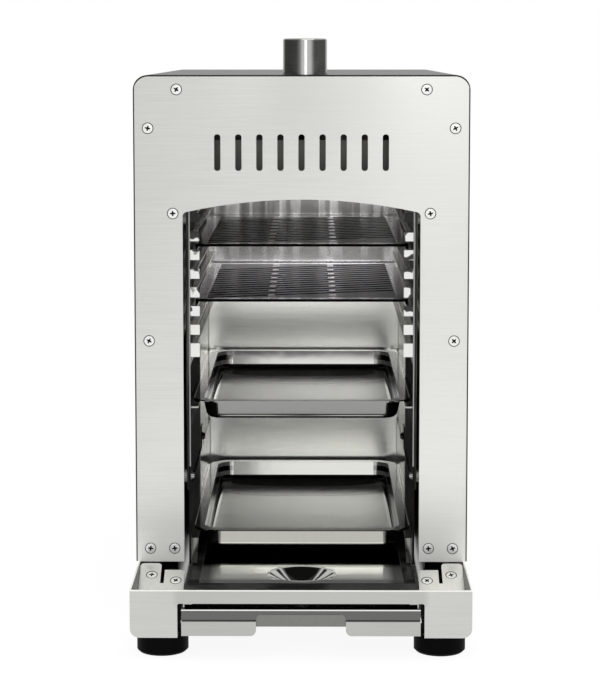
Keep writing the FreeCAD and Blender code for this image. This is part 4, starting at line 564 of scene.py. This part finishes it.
def grate_steel():
    """The grates' heat-tinted steel, darker on the lower grate as painted shade: a border and
    bridges painted pale as light, and cut edges painted black as shade.
    """
    finish = Finish("grate steel", Metallic=1.0, Specular_Tint=(0.95, 0.93, 0.98))
    x, y, z = map(finish.at, "XYZ")
    grain = finish.noise(800, 3, 0.6, GRAIN["X"])
    tone = finish.noise(40, 3, 0.6) * 0.5 + grain * 0.5
    # painted shade: the lower grate's bars are darker than the upper grate's
    painted_shade_lower_bars = finish.blend(tone, (0.20, 0.196, 0.206), (0.29, 0.284, 0.297))
    upper_bars = finish.blend(tone, (0.32, 0.313, 0.33), (0.46, 0.45, 0.47))
    colour = finish.blend(z.step(0.250, 0.255), painted_shade_lower_bars, upper_bars)
    # painted light: a pale border and bridges
    border = (abs(x).step(GRATE_SIDE, GRATE_SIDE + 0.0006) + y.step(GRATE_BACK, GRATE_BACK + 0.0004)
              + (1 - y.step(GRATE_FRONT - 0.0004, GRATE_FRONT)))
    row = ((y - x * SLOT_SLOPE + SLOT_SHIFT) / SLOT_PITCH).fraction()
    bridge = (1 - abs(abs(x) - BRIDGE_PLACE).step(0.0026, 0.0030)) * row.between(0.01, 0.40, 0.01)
    pale = (border + bridge).smaller(1)
    colour = finish.blend(pale, colour, (0.97, 0.95, 0.99))
    # painted shade: the faces that are not level, cut edges and the slots' walls, are black
    level = abs(finish.facing("Z")).step(0.4, 0.8)
    finish.set("Base Color", finish.blend(level, (0.002, 0.002, 0.002), colour))
    finish.set("Roughness", grain * 0.10 + (0.24 - pale * 0.14))
    finish.bump(grain, GRAIN_DEPTH, 0.3)
    return finish.material


def plain_steel(name, level, rough, warm=0.04, metal=1.0):
    """Smooth steel with a faint waviness, for screws, bolts, pipes and the burner's sheet."""
    finish = Finish(name, Metallic=metal)
    wipe, wave, colour = polished(finish, level, 0.08, warm)
    finish.set("Base Color", colour)
    finish.set("Roughness", wipe * 0.08 + wave * 0.04 + (rough - 0.05))
    finish.bump(wave + wipe * 0.04, 0.0004, 0.2)
    return finish.material


def rubber():
    """Black rubber with a fine matt skin."""
    finish = Finish("foot rubber", IOR=1.45, Specular_IOR_Level=0.03)
    skin = finish.noise(1500, 3, 0.6)
    dust = finish.noise(60, 4, 0.6)
    finish.set("Base Color", finish.blend(dust, (0.002, 0.002, 0.002), (0.005, 0.005, 0.005)))
    finish.set("Roughness", skin * 0.15 + dust * 0.1 + 0.34)
    finish.bump(skin, 0.0001, 0.3)
    return finish.material


def dark_chrome():
    """The knob's dark plated metal, turned smooth, with a painted highlight in a band down its
    middle, painted shade on its left side, and a plain top.
    """
    finish = Finish("dark chrome", Metallic=1.0)
    rings = finish.noise(1100, 2, 0.5, (0.04, 0.04, 1))
    cloud = finish.noise(60, 3, 0.5)
    across = (finish.at("X") - KNOB_PLACE) / KNOB_RADIUS
    # painted shade: darker on the left side, lighter on the right
    colour = finish.blend(across.step(0.1, 0.7), grey(0.20), grey(0.36))
    # painted highlight down the middle
    band = across.between(-0.10, 0.32, 0.16)
    colour = finish.blend(band, colour, finish.blend(cloud, grey(0.52), grey(0.66)))
    top = finish.facing("Z").step(0.5, 0.9)
    colour = finish.blend(top, colour, finish.blend(cloud, grey(0.34), grey(0.42)))
    finish.set("Base Color", colour)
    finish.set("Roughness", rings * 0.05 + cloud * 0.04 + 0.09)
    finish.bump(rings, 0.00003, 0.5)
    return finish.material


def ceramic(name):
    """Fired ceramic, off-white with fine pores."""
    finish = Finish(name)
    pores = finish.noise(700, 3, 0.6)
    finish.set("Base Color", finish.blend(pores, (0.62, 0.57, 0.50), (0.80, 0.76, 0.69)))
    finish.set("Roughness", pores * 0.2 + 0.65)
    finish.bump(pores, 0.0003, 0.4)
    return finish.material


def brass():
    """Turned brass, a little dulled."""
    finish = Finish("turned brass", Metallic=1.0)
    turn = finish.noise(900, 3, 0.6, GRAIN["X"])
    dull = finish.noise(90, 3, 0.6)
    finish.set("Base Color", finish.blend(dull, (0.55, 0.40, 0.17), (0.78, 0.60, 0.28)))
    finish.set("Roughness", turn * 0.12 + dull * 0.12 + 0.2)
    finish.bump(turn, GRAIN_DEPTH, 0.3)
    return finish.material


def recess_black():
    """The shadow in a screw's cross and round its head."""
    finish = Finish("recess black", Specular_IOR_Level=0.1)
    # painted shadow, mottled
    shadow_mottle = finish.noise(900, 3, 0.6)
    colour = finish.blend(shadow_mottle, (0.010, 0.010, 0.010), (0.035, 0.034, 0.033))
    finish.set("Base Color", colour)
    finish.set("Roughness", shadow_mottle * 0.2 + 0.6)
    return finish.material


FINISHES = {
    "panel_steel": panel_steel(),
    "casing_steel": casing_steel(),
    "base_steel": base_steel(),
    "apron_steel": apron_steel(),
    "frame_steel": frame_steel(),
    "rack_steel": rack_steel(),
    "guide_steel": guide_steel(),
    "wall_steel": wall_steel(),
    "drain_steel": drain_steel(),
    "drawer_steel": drawer_steel(),
    "tray_steel": tray_steel(),
    "grate_steel": grate_steel(),
    "pan_steel": pan_steel(),
    "burner_steel": plain_steel("burner steel", 0.30, 0.36, warm=0.10),
    "pipe_steel": plain_steel("pipe steel", 0.62, 0.22),
    "screw_steel": plain_steel("screw steel", 0.96, 0.24, metal=0.3),
    "bolt_steel": plain_steel("bolt steel", 0.72, 0.14),
    "spring_steel": plain_steel("spring steel", 0.55, 0.25),
    "rubber": rubber(),
    "burner_ceramic": ceramic("burner ceramic"),
    "probe_ceramic": ceramic("probe ceramic"),
    "valve_brass": brass(),
    "knob_chrome": dark_chrome(),
}
RECESS = recess_black()


def finish_nodes():
    for part in frame["record"]["subparts"]:
        piece = NODES[part["node"]]
        piece.data.materials.clear()
        piece.data.materials.append(FINISHES[part["material_slot"]])


finish_nodes()


# New meshes

def join_loops(form, low, high, slot=0):
    """Quads between two loops of the same count."""
    count = len(low)
    for i in range(count):
        following = (i + 1) % count
        face = form.faces.new((low[i], low[following], high[following], high[i]))
        face.material_index = slot


def add_object(name, form, *materials):
    """Turns form into an object of the scene."""
    mesh = bpy.data.meshes.new(name)
    form.to_mesh(mesh)
    form.free()
    for material in materials:
        mesh.materials.append(material)
    piece = bpy.data.objects.new(name, mesh)
    bpy.context.scene.collection.objects.link(piece)
    return piece


# Screws, in millimetres

HEAD_RADIUS, HEAD_SIDES = 3.65, 32
BROW_RADIUS = HEAD_RADIUS - 0.35
RIM_HEIGHT, BROW_HEIGHT, FACE_HEIGHT = -0.12, 0.04, 0.12
SHANK_RADIUS, CONE_END, SHANK_END = 1.9, -2.0, -6.0
CROSS_REACH, CROSS_ARM = 1.95, 0.52
CROSS_FLOOR, CROSS_FLOOR_REACH, CROSS_FLOOR_ARM = -1.1, CROSS_REACH * 0.55, CROSS_ARM * 0.6
SHADOW_RADIUS, SHADOW_INSIDE, SHADOW_HEIGHT = HEAD_RADIUS + 0.42, HEAD_RADIUS - 0.02, 0.025

# Across, height, and the cross's turn in degrees; each has a twin on the other side
PANEL_SCREWS = [
    (89, 390.8, 40), (109.5, 363.3, 20), (92, 302.5, 5),
    (109.5, 210.7, 35), (109.5, 58.8, 15), (92, 58.8, 0),
]
# Across, way down the slope, and the cross's turn
APRON_SCREWS = [(107.8, 13, 10), (90.2, 19.2, 40)]
APRON_SLOPE, APRON_TOP, APRON_START = math.radians(25), 48, 1
PANEL_TURN, APRON_TURN = 7, 4


def ring(form, radius, height):
    turns = [2 * math.pi * i / HEAD_SIDES for i in range(HEAD_SIDES)]
    return [form.verts.new((radius * math.cos(a), radius * math.sin(a), height)) for a in turns]


def loop_edges(form, verts):
    return [form.edges.new((verts[i], verts[(i + 1) % len(verts)])) for i in range(len(verts))]


def cross_points(reach, arm, height):
    """A cross with narrowing arms, anticlockwise."""
    tip, corner = arm * 0.8, arm * 1.25
    points = []
    for quarter in range(4):
        turn = Matrix.Rotation(quarter * math.pi / 2, 3, "Z")
        for x, y in ((reach, -tip), (reach, tip), (corner, corner)):
            points.append(turn @ Vector((x, y, height)))
    return points


def screw_form():
    """A countersunk head with its cross, the shank behind it and the shadow round it."""
    form = bmesh.new()
    outer = ring(form, HEAD_RADIUS, RIM_HEIGHT)
    brow = ring(form, BROW_RADIUS, BROW_HEIGHT)
    join_loops(form, outer, brow)
    cross = [form.verts.new(p) for p in cross_points(CROSS_REACH, CROSS_ARM, FACE_HEIGHT)]
    brow_edges = [e for v in brow for e in v.link_edges if e.other_vert(v) in brow]
    edges = list(dict.fromkeys(loop_edges(form, cross) + brow_edges))
    bmesh.ops.triangle_fill(form, edges=edges, use_beauty=True)
    floor_points = cross_points(CROSS_FLOOR_REACH, CROSS_FLOOR_ARM, CROSS_FLOOR)
    floor = [form.verts.new(p) for p in floor_points]
    join_loops(form, floor, cross, 1)
    form.faces.new(floor).material_index = 1
    cone = ring(form, SHANK_RADIUS, CONE_END)
    join_loops(form, cone, outer)
    end = ring(form, SHANK_RADIUS, SHANK_END)
    join_loops(form, end, cone)
    form.faces.new(list(reversed(end)))
    shadow = ring(form, SHADOW_RADIUS, SHADOW_HEIGHT)
    inner = ring(form, SHADOW_INSIDE, SHADOW_HEIGHT)
    join_loops(form, inner, shadow, 1)
    form.normal_update()
    inverted = [f for f in form.faces if f.material_index == 0
                and f.normal.z < -0.2 and f.calc_center_median().z > -0.2]
    bmesh.ops.reverse_faces(form, faces=inverted)
    return form


def screw_set(name, node, places):
    """Screws at places, each with its outward direction and the turn of its cross in degrees."""
    form = bmesh.new()
    for place, outward, angle in places:
        screw = screw_form()
        spin = Matrix.Rotation(math.radians(angle), 4, "Z")
        aim = Vector(outward).to_track_quat("Z", "Y").to_matrix().to_4x4()
        move = Matrix.Translation(Vector(place)) @ aim @ spin
        bmesh.ops.transform(screw, matrix=move, verts=screw.verts)
        copy = bpy.data.meshes.new("screw copy")
        screw.to_mesh(copy)
        screw.free()
        form.from_mesh(copy)
        bpy.data.meshes.remove(copy)
    bmesh.ops.scale(form, vec=(MM, MM, MM), verts=form.verts)
    piece = add_object(name, form, FINISHES["screw_steel"], RECESS)
    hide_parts(node)
    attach(piece, "housing")


def on_slope(x, way):
    """A place on the sloping plates, that way down from their upper edge."""
    forward, down = way * math.cos(APRON_SLOPE), way * math.sin(APRON_SLOPE)
    return (x, PANEL_FACE / MM - APRON_START - forward, APRON_TOP - down)


def make_screws():
    panel = [((side * x, PANEL_FACE / MM, z), (0, -1, 0), turn * side + PANEL_TURN)
             for x, z, turn in PANEL_SCREWS for side in (-1, 1)]
    screw_set("panel_screw_heads", "panel_screws", panel)
    outward = (0, -math.sin(APRON_SLOPE), math.cos(APRON_SLOPE))
    apron = [(on_slope(side * x, way), outward, turn * side + APRON_TURN)
             for x, way, turn in APRON_SCREWS for side in (-1, 1)]
    screw_set("apron_screw_heads", "apron_screws", apron)


make_screws()


# Stem spring

SPRING_TURNS, SPRING_STEPS, WIRE_SIDES = 4, 24, 8
WIRE_RADIUS = 0.6 * MM


def make_spring():
    """The coil round the knob's stem, from the bracket to the cap that follows the knob."""
    low, high = (Vector(corner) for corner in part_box("stem_spring"))
    middle = (low + high) / 2
    reach = (high.x - low.x) / 2 - WIRE_RADIUS
    rise = high.z - low.z - 2 * WIRE_RADIUS
    count = SPRING_TURNS * SPRING_STEPS
    form = bmesh.new()
    rings = []
    for i in range(count + 1):
        turn = Matrix.Rotation(2 * math.pi * i / SPRING_STEPS, 3, "Z")
        centre = Vector((middle.x, middle.y, low.z + WIRE_RADIUS + rise * i / count))
        verts = []
        for side in range(WIRE_SIDES):
            angle = 2 * math.pi * side / WIRE_SIDES
            across, up = WIRE_RADIUS * math.cos(angle), WIRE_RADIUS * math.sin(angle)
            verts.append(form.verts.new(centre + turn @ Vector((reach + across, 0, up))))
        rings.append(verts)
    for first, second in zip(rings, rings[1:]):
        join_loops(form, first, second)
    form.faces.new(rings[0])
    form.faces.new(rings[-1])
    bmesh.ops.recalc_face_normals(form, faces=form.faces)
    piece = add_object("stem_spring_coil", form, FINISHES["spring_steel"])
    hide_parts("stem_spring")
    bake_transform(piece)


make_spring()


# Room, lights and camera

FLOOR_REACH, FLOOR_SHADE, FLOOR_SHOWN, FLOOR_GLOW = 6, 0.9, 0.86, 1.06
SIDE_LEVEL, FRONT_LEVEL, BACK_LEVEL, CEILING_LEVEL, ROOM_LIGHT = 0.15, 0.77, 1.0, 0.85, 0.80
EYE = (0.0077, PANEL_FACE - 1.473, 0.4190)
PITCH, YAW = math.radians(5.779), math.radians(0.342)
FOCAL_LENGTH, SENSOR_WIDTH, LENS_SHIFT = 106.43, 36, -0.13


def floor_material():
    """Looks white to the camera and in reflections, and keeps soft shadows."""
    material = bpy.data.materials.new("floor")
    material.use_nodes = True
    nodes = Nodes(material.node_tree)
    nodes.tree.nodes.clear()
    shown = nodes.ray("Camera").larger(nodes.ray("Glossy")) * FLOOR_SHOWN
    matt = nodes.node("ShaderNodeBsdfDiffuse", None, {"Color": (FLOOR_SHADE,) * 3})
    glow = nodes.node("ShaderNodeEmission", None, {"Color": WHITE, "Strength": FLOOR_GLOW})
    mix = nodes.node("ShaderNodeMixShader", None, {"Fac": shown, 1: matt, 2: glow})
    nodes.make("ShaderNodeOutputMaterial", None, {"Surface": mix})
    return material


def make_floor():
    form = bmesh.new()
    bmesh.ops.create_grid(form, x_segments=1, y_segments=1, size=FLOOR_REACH)
    floor = add_object("floor", form, floor_material())


def make_world():
    """White behind the object; in its reflections a room whose sides are dimmer than the rest."""
    world = bpy.data.worlds.new("studio")
    bpy.context.scene.world = world
    world.use_nodes = True
    nodes = Nodes(world.node_tree)
    nodes.tree.nodes.clear()
    toward = nodes.node("ShaderNodeTexCoord", output="Generated")
    y, z = nodes.part(toward, "Y"), nodes.part(toward, "Z")
    front = y.step(-0.70, -0.92, SIDE_LEVEL, FRONT_LEVEL)
    back = y.step(0.55, 0.90, SIDE_LEVEL, BACK_LEVEL)
    ceiling = z.step(0.20, 0.60, SIDE_LEVEL, CEILING_LEVEL)
    camera, glossy, through = map(nodes.ray, ("Camera", "Glossy", "Transmission"))
    strength = front.larger(back).larger(ceiling).larger(camera).larger(through)
    backdrop = nodes.node("ShaderNodeBackground", None, {"Color": WHITE, "Strength": strength})
    light = nodes.node("ShaderNodeBackground", None, {"Color": (ROOM_LIGHT,) * 3})
    seen = camera.larger(glossy).larger(through)
    mix = nodes.node("ShaderNodeMixShader", None, {"Fac": seen, 1: light, 2: backdrop})
    nodes.make("ShaderNodeOutputWorld", None, {"Surface": mix})


def add_lamp(name, place, target, size, power):
    """A rectangular lamp that points at its target."""
    lamp = bpy.data.lights.new(name, "AREA")
    lamp.shape = "RECTANGLE"
    lamp.size, lamp.size_y = size
    lamp.energy = power
    lamp_object = bpy.data.objects.new(name, lamp)
    lamp_object.location = place
    aim = Vector(target) - Vector(place)
    lamp_object.rotation_euler = aim.to_track_quat("-Z", "Y").to_euler()
    bpy.context.scene.collection.objects.link(lamp_object)


def make_camera():
    """Height, place and lens follow the photograph's perspective."""
    lens = bpy.data.cameras.new("camera")
    lens.lens, lens.sensor_width, lens.shift_y = FOCAL_LENGTH, SENSOR_WIDTH, LENS_SHIFT
    camera = bpy.data.objects.new("camera", lens)
    camera.location = EYE
    camera.rotation_euler = (math.pi / 2 - PITCH, 0, YAW)
    bpy.context.scene.collection.objects.link(camera)
    bpy.context.scene.camera = camera


make_floor()
make_world()
add_lamp("front soft box", (0.14, -2.4, 0.85), target=(0, 0, 0.25), size=(0.5, 1.1), power=2.7)
add_lamp("top soft box", (0.2, -0.4, 2.0), target=(0, 0, 0.2), size=(1.4, 1.4), power=5)
make_camera()
bpy.context.scene.view_settings.view_transform = "Standard"
